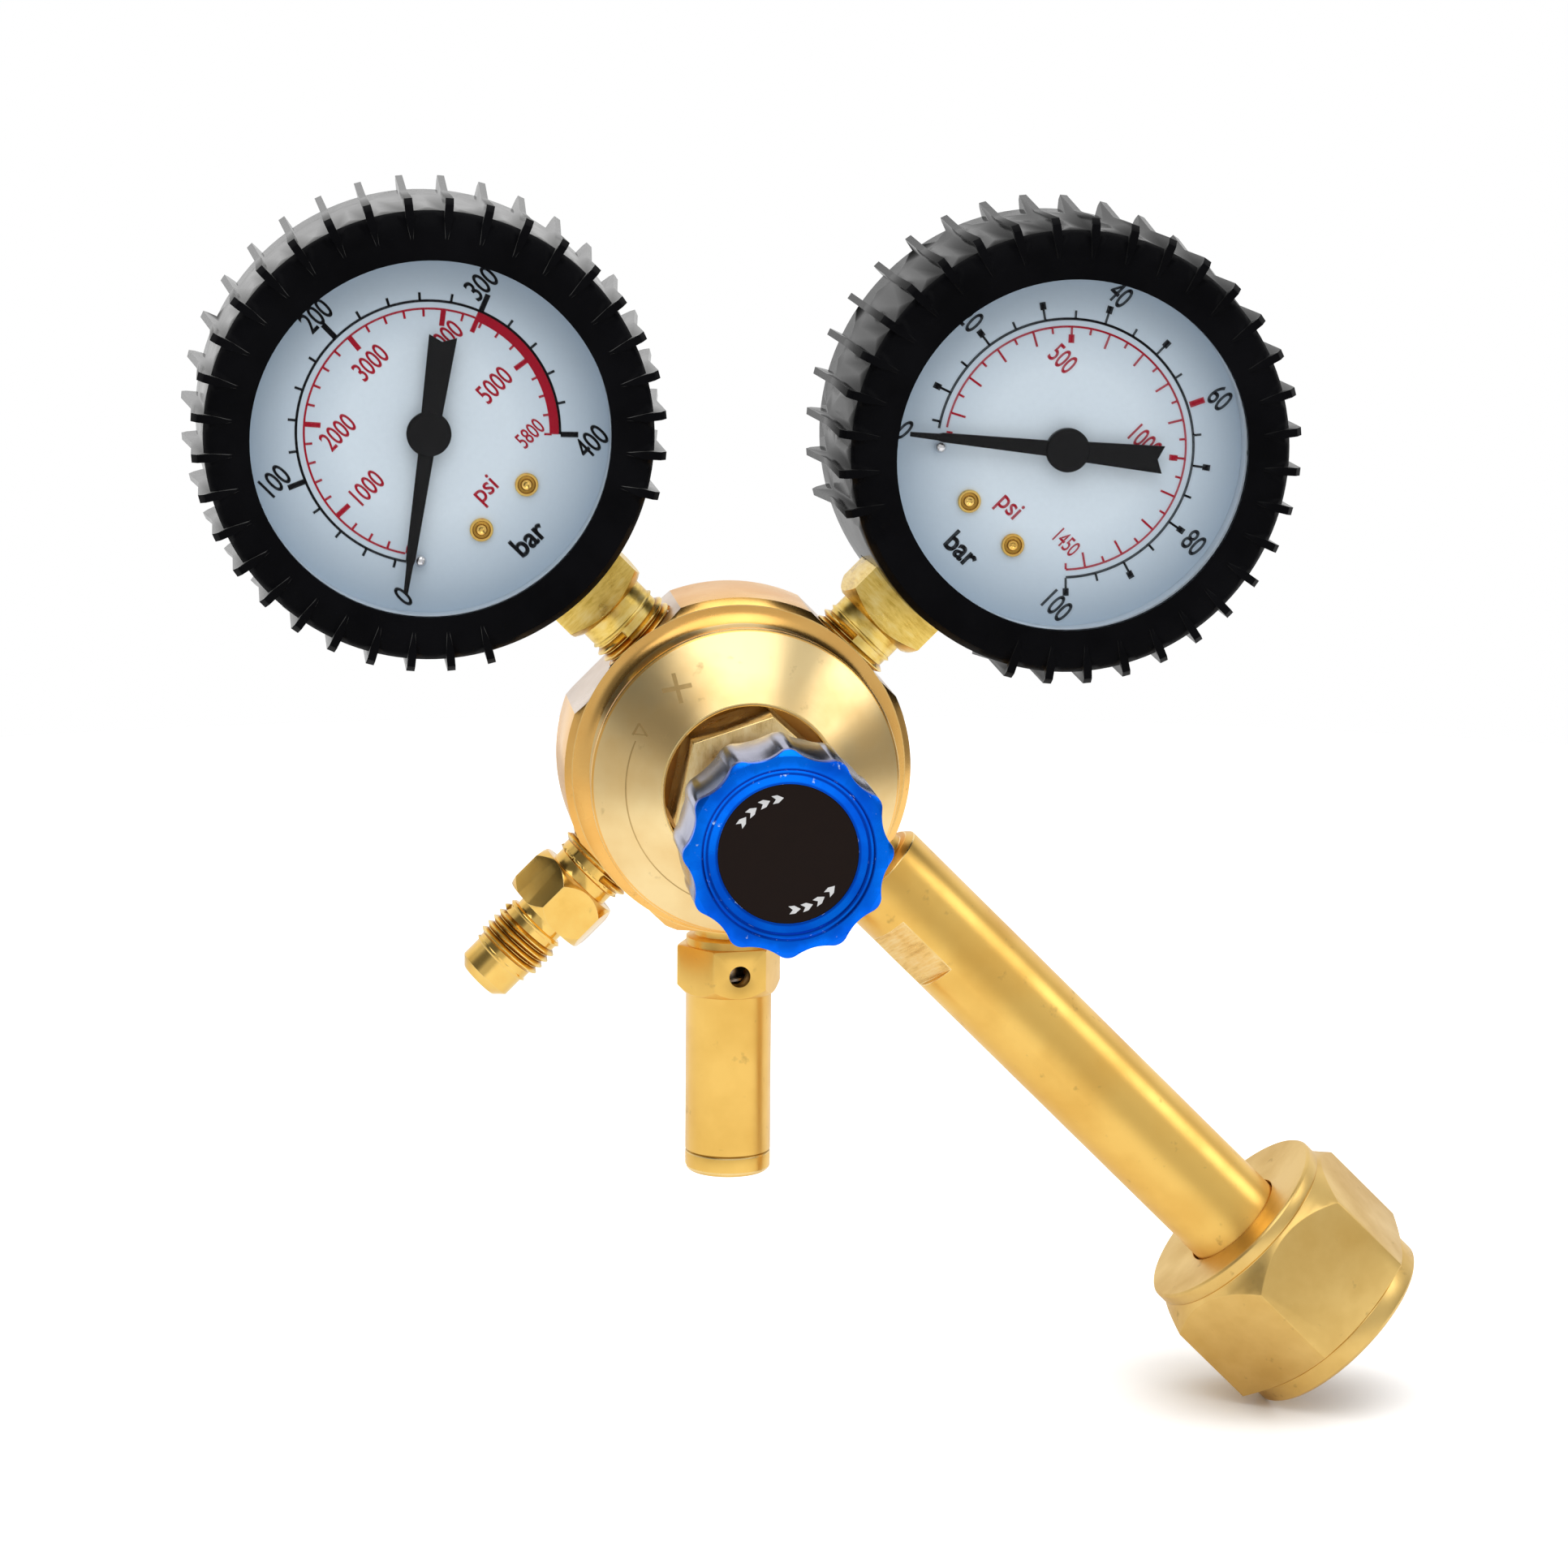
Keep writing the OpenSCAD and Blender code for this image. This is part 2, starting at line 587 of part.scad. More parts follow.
// Outlet fitting: threaded end, neck, hexagon, neck, hose thread and nose
module outlet_fitting() {
    hex_start = flat_reach + 5;
    hex_end = hex_start + outlet_hex_length;
    thread_begin = hex_end + 1.5;
    thread_end = thread_begin + flare_thread_length;
    nose_end = thread_end + nose_length;
    color(brass) port(outlet_angle, -outlet_offset) difference() {
        union() {
            turned([[0, thread_start], [port_thread_r - 0.7, thread_start], [port_thread_r, thread_start + 0.7],
                [port_thread_r, flat_reach + visible_thread], [neck_r - 0.2, flat_reach + visible_thread + 0.7],
                [neck_r - 0.2, hex_start + 1], [0, hex_start + 1]]);
            translate([0, 0, hex_start]) rotate([0, 0, -12])
                hex_bar(outlet_af, outlet_hex_length, outlet_af / 2 - 0.1, outlet_af / 2 + 0.1, 1.5);
            turned([[0, hex_end - 1], [4.2, hex_end - 1], [4.2, thread_begin], [flare_thread_r - 0.8, thread_begin],
                [flare_thread_r, thread_begin + 0.8], [flare_thread_r, thread_end - 0.7],
                [nose_r, thread_end], [nose_r, nose_end - 1.4], [nose_r - 1.4, nose_end], [0, nose_end]]);
        }
        translate([0, 0, thread_start - cut]) cylinder(h = nose_end, r = outlet_bore_r);
    }
}

// Relief valve body, with its seat, its vent hole and the room for its spring
relief_hex_start = flat_reach + 3.9;
relief_hex_end = relief_hex_start + relief_hex_length;
relief_end = relief_hex_end + relief_barrel_length;
relief_seat = relief_hex_start + 0.2;
relief_disc_t = 1.4;
relief_turn = -8;
vent_drop = 4.05;
cap_spigot = 6;
cap_spigot_r = 5.2;

module relief_body() {
    color(brass) port(relief_angle, relief_offset) difference() {
        union() {
            turned([[0, thread_start], [port_thread_r - 0.7, thread_start], [port_thread_r, thread_start + 0.7],
                [port_thread_r, flat_reach + 0.5], [neck_r, flat_reach + 1.2], [neck_r, relief_hex_start - 1.6],
                [relief_af / 2 - 0.5, relief_hex_start - 1.2], [relief_af / 2 - 0.5, relief_hex_start + 1],
                [0, relief_hex_start + 1]]);
            translate([0, 0, relief_hex_start]) rotate([0, 0, relief_turn])
                hex_bar(relief_af, relief_hex_length, relief_af / sqrt(3) - 0.2, relief_af / 2 - 0.1, 1.1);
            translate([0, 0, relief_hex_end - 1]) cylinder(h = relief_barrel_length + 1, r = relief_r);
        }
        translate([0, 0, thread_start - cut]) cylinder(h = 20, r = 2);
        translate([0, 0, relief_seat]) cylinder(h = relief_end, r = relief_bore_r);
        translate([0, 0, relief_end - cap_spigot - 0.4]) cylinder(h = relief_end, r = cap_spigot_r + seat_gap);
        translate([0, 0, relief_hex_start + vent_drop]) rotate([90, 0, relief_turn])
            cylinder(h = 40, r = vent_r, center = true);
    }
}

module relief_poppet() {
    guide_r = relief_bore_r - seat_gap;
    color(steel) port(relief_angle, relief_offset) translate([0, 0, relief_seat])
        turned([[0, 0], [guide_r - 0.5, 0], [guide_r, 0.5], [guide_r, relief_disc_t],
            [relief_bore_r - 1.9, relief_disc_t], [relief_bore_r - 2.2, relief_disc_t + 6], [0, relief_disc_t + 6]]);
}

module relief_spring() {
    start = relief_seat + relief_disc_t;
    length = relief_end - cap_spigot - start;
    color(steel) port(relief_angle, relief_offset) translate([0, 0, start])
        wound_wire(relief_bore_r - 0.9, 1, 9, length, 20, 8);
}

// Screwed cap of the relief valve, with a slot across its end
module relief_cap() {
    slot = 1.6;
    color(brass) port(relief_angle, relief_offset) translate([0, 0, relief_end]) difference() {
        union() {
            turned([[0, 0], [relief_r - 0.3, 0], [relief_r, 0.3], [relief_r, relief_cap_length - 0.6],
                [relief_r - 0.6, relief_cap_length], [0, relief_cap_length]]);
            translate([0, 0, -cap_spigot]) cylinder(h = cap_spigot + 1, r = cap_spigot_r);
        }
        translate([-relief_r - cut, -slot / 2, relief_cap_length - 1.5]) cube([2 * (relief_r + cut), slot, 3]);
    }
}

// Frame of a gauge: x right, y back and z up when its stem points down
contents_offset = -supply_offset;
delivery_offset = 0;

module contents_place() {
    port(contents_angle, contents_offset) translate([0, 0, contents_reach]) children();
}

module delivery_place() {
    port(delivery_angle, delivery_offset) translate([0, 0, delivery_reach]) children();
}

// Turned about the gauge's centre, z forward from the stem axis
module dial_axis(y) {
    translate([0, y, 0]) rotate([90, 0, 0]) children();
}

bezel_wall = 0.6;
bezel_r = case_r + bezel_wall;
bezel_lip = 0.7;
bezel_depth = 8.5;
lens_front = bezel_front - bezel_lip;
lens_back = lens_front - lens_t;
dial_t = 0.6;
dial_r = case_r - case_wall - 0.1;
pointer_front = lens_back - 1;
arbor_end = pointer_front - 0.3;
pointer_t = 0.5;
boot_lip = 0.95;
boot_front = bezel_front + boot_lip + seat_gap;
boot_back_r = boot_r + boot_flare;
socket_block = socket_w / 2;

// Rubber boot with its ribs, open behind the gauge and round the socket
module boot() {
    case_top = bezel_front - bezel_depth - 0.4;
    gap = 2.5 * 360 / rib_places;
    color(rubber) difference() {
        union() {
            dial_axis(0) turned([[boot_window_r, boot_front], [boot_r - 1, boot_front],
                [boot_r, boot_front - 1.4], [boot_back_r, -boot_back], [boot_window_r - 1, -boot_back]]);
            for (i = [0:rib_places - 1]) let (a = 360 / rib_places * i)
                if (a > gap && a < 360 - gap) rotate([0, a, 0]) rib();
        }
        dial_axis(case_back + seat_gap) cylinder(h = case_back + case_top + 1, r = case_r + seat_gap);
        dial_axis(-case_top) cylinder(h = bezel_depth + 0.4 + seat_gap, r = bezel_r + seat_gap);
        translate([-socket_block - 0.4, -socket_block - 0.4, -2 * boot_r])
            cube([socket_w + 0.8, socket_w + 0.8, 1.25 * boot_r]);
    }
}

// One rib, standing at the foot of the boot and wrapped over its front edge
module rib() {
    wrap = 4.8;
    lift = 0.55;
    root = boot_r - 1;
    rotate([0, 90, 0]) translate([0, 0, -rib_t / 2]) linear_extrude(rib_t)
        polygon([[boot_r - wrap, -boot_front + 0.3], [boot_r - wrap + 1, -boot_front - lift * 0.6],
            [boot_r - 1.2, -boot_front - lift], [boot_r + rib_front - 0.9, -boot_front + 0.1],
            [boot_r + rib_front, -boot_front + 1.4], [boot_r + rib_front - 0.1, 0],
            [boot_back_r + rib_back, boot_back - 1], [boot_back_r + rib_back - 0.8, boot_back],
            [root, boot_back], [root, -boot_front + 0.8]]);
}

// Steel case, open at the front, with a square hole for the socket
module case() {
    color(steel) difference() {
        dial_axis(case_back) cylinder(h = case_back + lens_back, r = case_r);
        dial_axis(case_back - case_wall) cylinder(h = case_back + lens_back, r = case_r - case_wall);
        translate([-socket_block - seat_gap, -socket_block - seat_gap, -1.2 * case_r])
            cube([socket_w + 2 * seat_gap, socket_w + 2 * seat_gap, 0.42 * case_r]);
    }
}

module bezel() {
    lip_r = boot_window_r + 1.2;
    color(steel) dial_axis(-bezel_front + bezel_depth) difference() {
        turned([[0, 0], [bezel_r, 0], [bezel_r, bezel_depth - 0.5], [bezel_r - 0.5, bezel_depth], [0, bezel_depth]]);
        translate([0, 0, -cut]) cylinder(h = bezel_depth - bezel_lip + cut, r = case_r + seat_gap);
        cylinder(h = bezel_depth + cut, r = lip_r);
    }
}

module lens() {
    color([0.9, 0.95, 1, 0.3]) dial_axis(-lens_back) cylinder(h = lens_t, r = case_r);
}

// Ring that holds the dial's edge and stands under the lens
module spacer_ring() {
    color(pale) dial_axis(-dial_front) difference() {
        cylinder(h = lens_back - dial_front, r = dial_r);
        translate([0, 0, -cut]) cylinder(h = lens_back, r = boot_window_r + 1.2);
    }
}

// Places of the two dial screws, below the gauge's centre
dial_screw_x = 4.86;
dial_screw_z = -16.2;
dial_screw_r = 0.8;
arbor_r = 0.55;
running_gap = 0.04;

module dial(rest) {
    color([0.93, 0.95, 0.98]) difference() {
        dial_axis(-dial_front + dial_t) cylinder(h = dial_t, r = dial_r);
        dial_axis(0) cylinder(h = 2 * dial_front, r = arbor_r + loose_gap);
        for (x = [-dial_screw_x, dial_screw_x]) translate([x, 0, dial_screw_z])
            dial_axis(0) cylinder(h = 2 * dial_front, r = dial_screw_r + seat_gap);
        dial_axis(0) rotate(rest + stop_pin_lead) translate([stop_pin_reach, 0])
            cylinder(h = 2 * dial_front, r = stop_pin_r);
    }
}

module dial_screws() {
    head_r = 1.8;
    color(bright_brass) for (x = [-dial_screw_x, dial_screw_x]) translate([x, 0, dial_screw_z]) {
        difference() {
            dial_axis(-dial_front) turned([[0, 0], [head_r, 0], [head_r, 0.3], [head_r - 0.4, 0.6], [0, 0.6]]);
            translate([-head_r, -dial_front - 1, -0.25]) cube([2 * head_r, 0.7, 0.5]);
        }
        dial_axis(-dial_front + 2.4) cylinder(h = 2.4, r = dial_screw_r);
    }
}

// Stop pin in the dial, just behind the pointer at rest
stop_pin_lead = 4.6;
stop_pin_reach = case_r - 11.8;
stop_pin_r = 0.5;

module stop_pin(rest) {
    color(steel) dial_axis(-dial_front + dial_t) rotate(rest + stop_pin_lead) translate([stop_pin_reach, 0])
        cylinder(h = pointer_front - dial_front + dial_t, r = stop_pin_r);
}

// Pointer with its hub, its needle with a fine tip and its notched tail
needle_margin = 6.8;
tail_margin = 16.4;
hub_r = 3.4;
hub_t = 1.2;
tip_length = 4.4;
tip_half = 0.14;
needle_half = 0.72;
needle_root_half = 1.2;
tail_half = 2.13;
tail_root_half = 1.6;
tail_notch = 0.9;

module pointer(rest) {
    needle = case_r - needle_margin;
    tail = case_r - tail_margin;
    shoulder = needle - tip_length;
    root = hub_r - 0.4;
    color([0.08, 0.08, 0.08]) difference() {
        union() {
            dial_axis(-pointer_front + pointer_t) rotate(rest) linear_extrude(pointer_t)
                polygon([[needle, -tip_half], [needle, tip_half], [shoulder, tip_half],
                    [shoulder - needle_half, needle_half], [root, needle_root_half], [-root, tail_root_half],
                    [-tail, tail_half], [-tail + tail_notch, 0], [-tail, -tail_half], [-root, -tail_root_half],
                    [root, -needle_root_half], [shoulder - needle_half, -needle_half], [shoulder, -tip_half]]);
            dial_axis(-pointer_front + hub_t - 0.3) turned([[0, 0], [hub_r, 0], [hub_r, hub_t - 0.2],
                [hub_r - 0.2, hub_t], [0, hub_t]]);
        }
        dial_axis(0) cylinder(h = arbor_end + seat_gap, r = arbor_r);
    }
}

// Layers of the movement, measured forward from the stem axis
rear_plate = 2;
plate_thick = 1;
front_plate = 8.2;
gear_layer = 5.5;
gear_t = 1;
link_layer = 4.7;
link_t = 0.6;
pinion_r = gear_module * pinion_teeth / 2;
sector_r = gear_module * sector_teeth / 2;
centre_distance = pinion_r + sector_r;
gear_ratio = sector_teeth / pinion_teeth;
sector_sweep = pointer_sweep / gear_ratio;
tooth_shift = 0.4;
tooth_backlash = 0.05;
addendum = 0.85;
tail_reach = 4.5;

// Involute teeth: polar angle over which a flank has turned at radius r
function involute(a) = tan(a) * 180 / PI - a;

function flank(teeth, shift, r) =
    let (rp = gear_module * teeth / 2, rb = rp * cos(20),
        half = (90 / teeth) + (2 * shift * tan(20) / teeth - tooth_backlash / rp / 2) * 180 / PI,
        a = r > rb ? acos(rb / r) : 0)
    half + involute(20) - involute(a);

function tooth(teeth, shift, at) =
    let (rp = gear_module * teeth / 2, root = rp - gear_module * (1.25 - shift),
        tip = rp + gear_module * (addendum + shift), start = max(root, rp * cos(20)), steps = 4)
    concat([[root * cos(at - flank(teeth, shift, start)), root * sin(at - flank(teeth, shift, start))]],
        [for (i = [0:steps]) let (r = start + (tip - start) * i / steps, a = at - flank(teeth, shift, r))
            [r * cos(a), r * sin(a)]],
        [for (i = [steps:-1:0]) let (r = start + (tip - start) * i / steps, a = at + flank(teeth, shift, r))
            [r * cos(a), r * sin(a)]],
        [[root * cos(at + flank(teeth, shift, start)), root * sin(at + flank(teeth, shift, start))]]);

// Pinion on the pointer's arbor
module pinion() {
    step = 360 / pinion_teeth;
    color(brass) {
        dial_axis(-gear_layer + 0.2) linear_extrude(gear_t + 0.4)
            polygon([for (i = [0:pinion_teeth - 1]) each tooth(pinion_teeth, tooth_shift, 270 + step * (i + 0.5))]);
        dial_axis(-rear_plate - 0.1) cylinder(h = arbor_end - rear_plate - 0.1, r = arbor_r);
    }
}

// Toothed sector, its arbor and the tail that the link pulls
module sector() {
    step = 360 / sector_teeth;
    half = ceil((sector_sweep / 2 + 6) / step);
    lean = sector_sweep / 2;
    first = -half - round(lean / step);
    count = 2 * half;
    shift = (round(lean / step)) * step;
    rim = sector_r - gear_module * (1.25 + tooth_shift) - 0.01;
    color(brass) translate([0, 0, -centre_distance]) {
        difference() {
            dial_axis(-gear_layer) linear_extrude(gear_t) {
                polygon(concat([[0, 0]],
                    [for (i = [0:count]) each tooth(sector_teeth, -tooth_shift, 90 - shift + (i - half) * step)]));
                circle(r = 2);
                rotate(270 - shift) translate([0, -1]) square([tail_reach, 2]);
                rotate(270 - shift) translate([tail_reach, 0]) circle(r = 1.2);
            }
            dial_axis(0) rotate(90 - shift) translate([rim * 0.62, 0]) cylinder(h = 20, r = 2.4);
        }
        dial_axis(-rear_plate - 0.1) cylinder(h = front_plate + plate_thick - rear_plate, r = 0.7);
        dial_axis(-link_layer + 0.3) rotate(270 - shift) translate([tail_reach, 0])
            cylinder(h = gear_layer - link_layer + 0.5, r = 0.5);
    }
}

// Spiral spring round the pinion's arbor, with its outer end in a stud
module hairspring() {
    turns = 3.5;
    inner = arbor_r + 0.5;
    outer = 4.2;
    wire = 0.22;
    steps = 84;
    layer = 7.1;
    spiral = [for (i = [0:steps]) let (t = i / steps) [inner + (outer - inner) * t, 180 - 360 * turns * (1 - t)]];
    color(bright_brass) {
        dial_axis(-layer) linear_extrude(0.4) polygon(concat(
            [for (p = spiral) [p[0] * cos(p[1]), p[0] * sin(p[1])]],
            [for (i = [steps:-1:0]) let (p = spiral[i], r = p[0] + wire) [r * cos(p[1]), r * sin(p[1])]]));
        dial_axis(-layer + 0.1) translate([-outer - wire - 0.3, 0]) cylinder(h = front_plate - layer + 0.1, r = 0.5);
    }
}

// Ear of the pressure tube's tip, and the sector's tail, as places in the dial plane
ear_angle = -29;
ear_reach = tube_r - 3.2;
tail_turn = 270 - round(sector_sweep / 2 / (360 / sector_teeth)) * (360 / sector_teeth);
ear = [ear_reach * cos(ear_angle), ear_reach * sin(ear_angle)];
tail = [tail_reach * cos(tail_turn), tail_reach * sin(tail_turn) - centre_distance];

// Link from the sector's tail to the tip of the pressure tube
module link() {
    along = ear - tail;
    length = norm(along);
    color(steel) dial_axis(-link_layer) translate(tail) rotate(atan2(along[1], along[0])) difference() {
        union() {
            linear_extrude(link_t) {
                circle(r = 1.1);
                translate([0, -0.7]) square([length, 1.4]);
                translate([length, 0]) circle(r = 1.1);
            }
            translate([length, 0]) cylinder(h = link_t + 0.4, r = 0.8);
        }
        translate([0, 0, -cut]) cylinder(h = link_t + 2 * cut, r = 0.5 + running_gap);
    }
}

// Two plates on three pillars, with bearings for both arbors and seats for the dial
module movement_frame() {
    wide = 7.5;
    top = 3.6;
    bottom = -18.3;
    pillars = [[-6, 1.8], [6, 1.8], [-5.8, -16.6]];
    color(brass) difference() {
        union() {
            for (y = [rear_plate, front_plate]) dial_axis(-y) translate([-wide, bottom])
                cube([2 * wide, top - bottom, plate_thick]);
            for (p = pillars) dial_axis(-rear_plate) translate(p)
                cylinder(h = front_plate - rear_plate + 0.5, r = 1.3);
            for (x = [-dial_screw_x, dial_screw_x]) dial_axis(-front_plate) translate([x, dial_screw_z])
                cylinder(h = dial_front - dial_t - front_plate, r = 1.8);
        }
        dial_axis(0) cylinder(h = 20, r = arbor_r + running_gap);
        dial_axis(0) translate([0, -centre_distance]) cylinder(h = 20, r = 0.7 + running_gap);
        for (x = [-dial_screw_x, dial_screw_x]) dial_axis(-front_plate) translate([x, dial_screw_z])
            cylinder(h = 20, r = dial_screw_r + seat_gap);
    }
}

// Flat oval section of the pressure tube, which runs behind the movement
tube_flat = 5.6;
tube_wide_r = 1.2;
tube_y = 2.6;
tube_root_angle = 258;

module tube_section(grow) {
    half_r = tube_wide_r + grow;
    translate([tube_r, -tube_y]) {
        square([2 * half_r, tube_flat], center = true);
        translate([0, tube_flat / 2]) circle(r = half_r);
        translate([0, -tube_flat / 2]) circle(r = half_r);
    }
}

// Curved pressure tube, from the socket clockwise to its closed tip with an ear
module pressure_tube() {
    tip_angle = -25;
    ear_front = 4.5;
    ear_t = 0.8;
    color(bright_brass) {
        difference() {
            dial_axis(0) rotate(tip_angle - 7) rotate_extrude(angle = tube_root_angle - tip_angle + 7) tube_section(0);
            dial_axis(0) rotate(tip_angle) rotate_extrude(angle = tube_root_angle - tip_angle + 1) tube_section(-0.4);
        }
        dial_axis(tube_y) rotate(ear_angle) translate([tube_r, 0]) cylinder(h = tube_y + ear_front, r = 1.1);
        difference() {
            dial_axis(ear_t - ear_front) linear_extrude(ear_t) {
                translate(ear) circle(r = 1.5);
                rotate(ear_angle) translate([ear_reach, -1.1]) square([tube_r - ear_reach, 2.2]);
            }
            dial_axis(0) translate(ear) cylinder(h = 10, r = 0.6);
        }
    }
}

// Gauge socket: pipe thread, neck, square block with a turned edge and the seat of the works
module gauge_socket(reach, thread_out) {
    block_top = -(case_r - 4.4);
    works_top = -11.5;
    works_back = 8;
    side_z = tube_r * sin(tube_root_angle);
    color(brass) difference() {
        union() {
            translate([0, 0, -reach]) turned([[0, thread_start], [port_thread_r - 0.7, thread_start],
                [port_thread_r, thread_start + 0.7], [port_thread_r, thread_out],
                [neck_r + 0.3, thread_out + 0.7], [neck_r + 0.3, reach - socket_reach + 1],
                [0, reach - socket_reach + 1]]);
            intersection() {
                translate([-socket_block, -socket_block, -socket_reach])
                    cube([socket_w, socket_w, socket_reach + block_top]);
                translate([0, 0, -socket_reach]) turned([[0, 0], [socket_block - 0.5, 0],
                    [1.5 * socket_block, 2.4], [1.5 * socket_block, socket_reach], [0, socket_reach]]);
            }
            translate([-6, -rear_plate, block_top - 1]) cube([12, rear_plate + works_back, works_top - block_top + 1]);
        }
        dial_axis(0) rotate(tube_root_angle - 20) rotate_extrude(angle = 21) tube_section(seat_gap);
        translate([0, 0, thread_start - reach - cut]) cylinder(h = reach - thread_start + cut + side_z + 1, r = 1.2);
        translate([-5, 0, side_z]) rotate([0, 90, 0]) cylinder(h = 5, r = 0.8);
    }
}

module contents_boot() { contents_place() boot(); }
module contents_case() { contents_place() case(); }
module contents_bezel() { contents_place() bezel(); }
module contents_lens() { contents_place() lens(); }
module contents_spacer_ring() { contents_place() spacer_ring(); }
module contents_dial() { contents_place() dial(contents_rest); }
module contents_dial_screws() { contents_place() dial_screws(); }
module contents_stop_pin() { contents_place() stop_pin(contents_rest); }
module contents_pointer() { contents_place() pointer(contents_rest); }
module contents_pinion() { contents_place() pinion(); }
module contents_hairspring() { contents_place() hairspring(); }
module contents_sector() { contents_place() sector(); }
module contents_link() { contents_place() link(); }
module contents_movement_frame() { contents_place() movement_frame(); }
module contents_pressure_tube() { contents_place() pressure_tube(); }
module contents_socket() {
    contents_place() gauge_socket(contents_reach, flat_reach + visible_thread);
}

module delivery_boot() { delivery_place() boot(); }
module delivery_case() { delivery_place() case(); }
module delivery_bezel() { delivery_place() bezel(); }
module delivery_lens() { delivery_place() lens(); }
module delivery_spacer_ring() { delivery_place() spacer_ring(); }
module delivery_dial() { delivery_place() dial(delivery_rest); }
module delivery_dial_screws() { delivery_place() dial_screws(); }
module delivery_stop_pin() { delivery_place() stop_pin(delivery_rest); }
module delivery_pointer() { delivery_place() pointer(delivery_rest); }
module delivery_pinion() { delivery_place() pinion(); }
module delivery_hairspring() { delivery_place() hairspring(); }
module delivery_sector() { delivery_place() sector(); }
module delivery_link() { delivery_place() link(); }
module delivery_movement_frame() { delivery_place() movement_frame(); }
module delivery_pressure_tube() { delivery_place() pressure_tube(); }
module delivery_socket() {
    delivery_place() gauge_socket(delivery_reach, flat_reach + visible_thread);
}

// Everything is moved so that the origin is the foot of the nipple
module placed() {
    translate(-origin) children();
}

placed() body();
placed() bonnet();
placed() gland_nut();
placed() diaphragm();
placed() slip_ring();
placed() diaphragm_plate();
placed() range_spring();
placed() spring_button();
placed() adjusting_screw();
placed() knob();
placed() knob_face();
placed() knob_label();
placed() valve_seat();
placed() valve_poppet();
placed() poppet_spring();
placed() inlet_stem();
placed() inlet_nut();
placed() inlet_filter();
placed() outlet_fitting();
placed() relief_body();
placed() relief_poppet();
placed() relief_spring();
placed() relief_cap();
placed() contents_boot();
placed() contents_case();
placed() contents_bezel();
placed() contents_lens();
placed() contents_spacer_ring();
placed() contents_dial();
placed() contents_dial_screws();
placed() contents_stop_pin();
placed() contents_pointer();
placed() contents_pinion();
placed() contents_hairspring();
placed() contents_sector();
placed() contents_link();
placed() contents_movement_frame();
placed() contents_pressure_tube();
placed() contents_socket();
placed() delivery_boot();
placed() delivery_case();
placed() delivery_bezel();
placed() delivery_lens();
placed() delivery_spacer_ring();
placed() delivery_dial();
placed() delivery_dial_screws();
placed() delivery_stop_pin();
placed() delivery_pointer();
placed() delivery_pinion();
placed() delivery_hairspring();
placed() delivery_sector();
placed() delivery_link();
placed() delivery_movement_frame();
placed() delivery_pressure_tube();
placed() delivery_socket();
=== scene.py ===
import json
from math import atan2, cos, pi, radians, sin, sqrt

import bmesh
import bpy
from mathutils import Matrix, Vector


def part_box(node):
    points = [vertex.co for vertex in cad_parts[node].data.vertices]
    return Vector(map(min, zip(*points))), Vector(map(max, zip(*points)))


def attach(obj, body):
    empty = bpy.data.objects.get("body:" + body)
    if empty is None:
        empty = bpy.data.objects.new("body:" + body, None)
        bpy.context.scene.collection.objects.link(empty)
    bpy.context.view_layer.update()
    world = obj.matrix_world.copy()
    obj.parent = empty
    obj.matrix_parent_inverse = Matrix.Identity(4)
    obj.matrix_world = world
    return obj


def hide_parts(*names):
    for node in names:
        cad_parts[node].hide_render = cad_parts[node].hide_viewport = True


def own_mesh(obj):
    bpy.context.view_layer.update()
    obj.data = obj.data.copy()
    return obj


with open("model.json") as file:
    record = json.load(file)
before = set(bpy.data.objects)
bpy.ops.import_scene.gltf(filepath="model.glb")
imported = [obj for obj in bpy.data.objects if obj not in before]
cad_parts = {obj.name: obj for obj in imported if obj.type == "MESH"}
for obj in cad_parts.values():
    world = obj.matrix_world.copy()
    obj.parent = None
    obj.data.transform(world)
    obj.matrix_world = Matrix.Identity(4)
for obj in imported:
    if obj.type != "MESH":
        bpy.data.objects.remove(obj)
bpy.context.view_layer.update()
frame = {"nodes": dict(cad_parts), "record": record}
nodes = frame["nodes"]
mm = 0.001

# ports and body axis, as the solids have them: each port's angle and offset, and how far out its gauge stands
layout = {
    "origin": Vector((86.0549, 0.0, -80.893)),  # foot of the nipple, from the body's centre
    "bodyFace": -9.3,  # y of the body's front face
    "dialDepth": 10.9,  # of the dials' faces before the stem axis
    "inlet": (315, 3.65, 0.0),
    "outlet": (225, -3.75, 0.0),
    "relief": (270, -0.4, 0.0),
    "contents": (135, -3.65, 71.4),
    "delivery": (45, 0.0, 70.8),
}
quarterTurn = Matrix.Rotation(radians(90), 4, "X")
fromCentre = Matrix.Scale(mm, 4) @ Matrix.Translation(-layout["origin"])

# matrix of the body's axis: z forward from its front face, x right, y up
bodyFace = Matrix.Translation(Vector((0, layout["bodyFace"], 0)) - layout["origin"])
bodyAxis = Matrix.Scale(mm, 4) @ bodyFace @ quarterTurn


def portPlace(name):
    # matrix of a port, or of the gauge that stands on it: z outward along the port, y back
    angle, offset, reach = layout[name]
    turn = Matrix.Rotation(radians(90 - angle), 4, "Y")
    return fromCentre @ turn @ Matrix.Translation(Vector((-offset, 0, reach)))


def axisOf(name):
    # matrix of a port's axis, with z counted from the body's centre
    return portPlace(name) @ Matrix.Translation(Vector((0, 0, -layout[name][2])))


def dialPlace(name, depth):
    # matrix of a dial layer: x right, y up, z forward, at a distance before the stem axis
    return portPlace(name) @ Matrix.Translation(Vector((0, -depth, 0))) @ quarterTurn


cameraSetup = {
    "place": (-0.17034, -0.78186, 0.22403),
    "azimuth": 6.742,  # degrees to the left of straight ahead
    "height": 10.581,  # degrees above the horizon
    "roll": 0.482,
    "lens": 117.1,
}


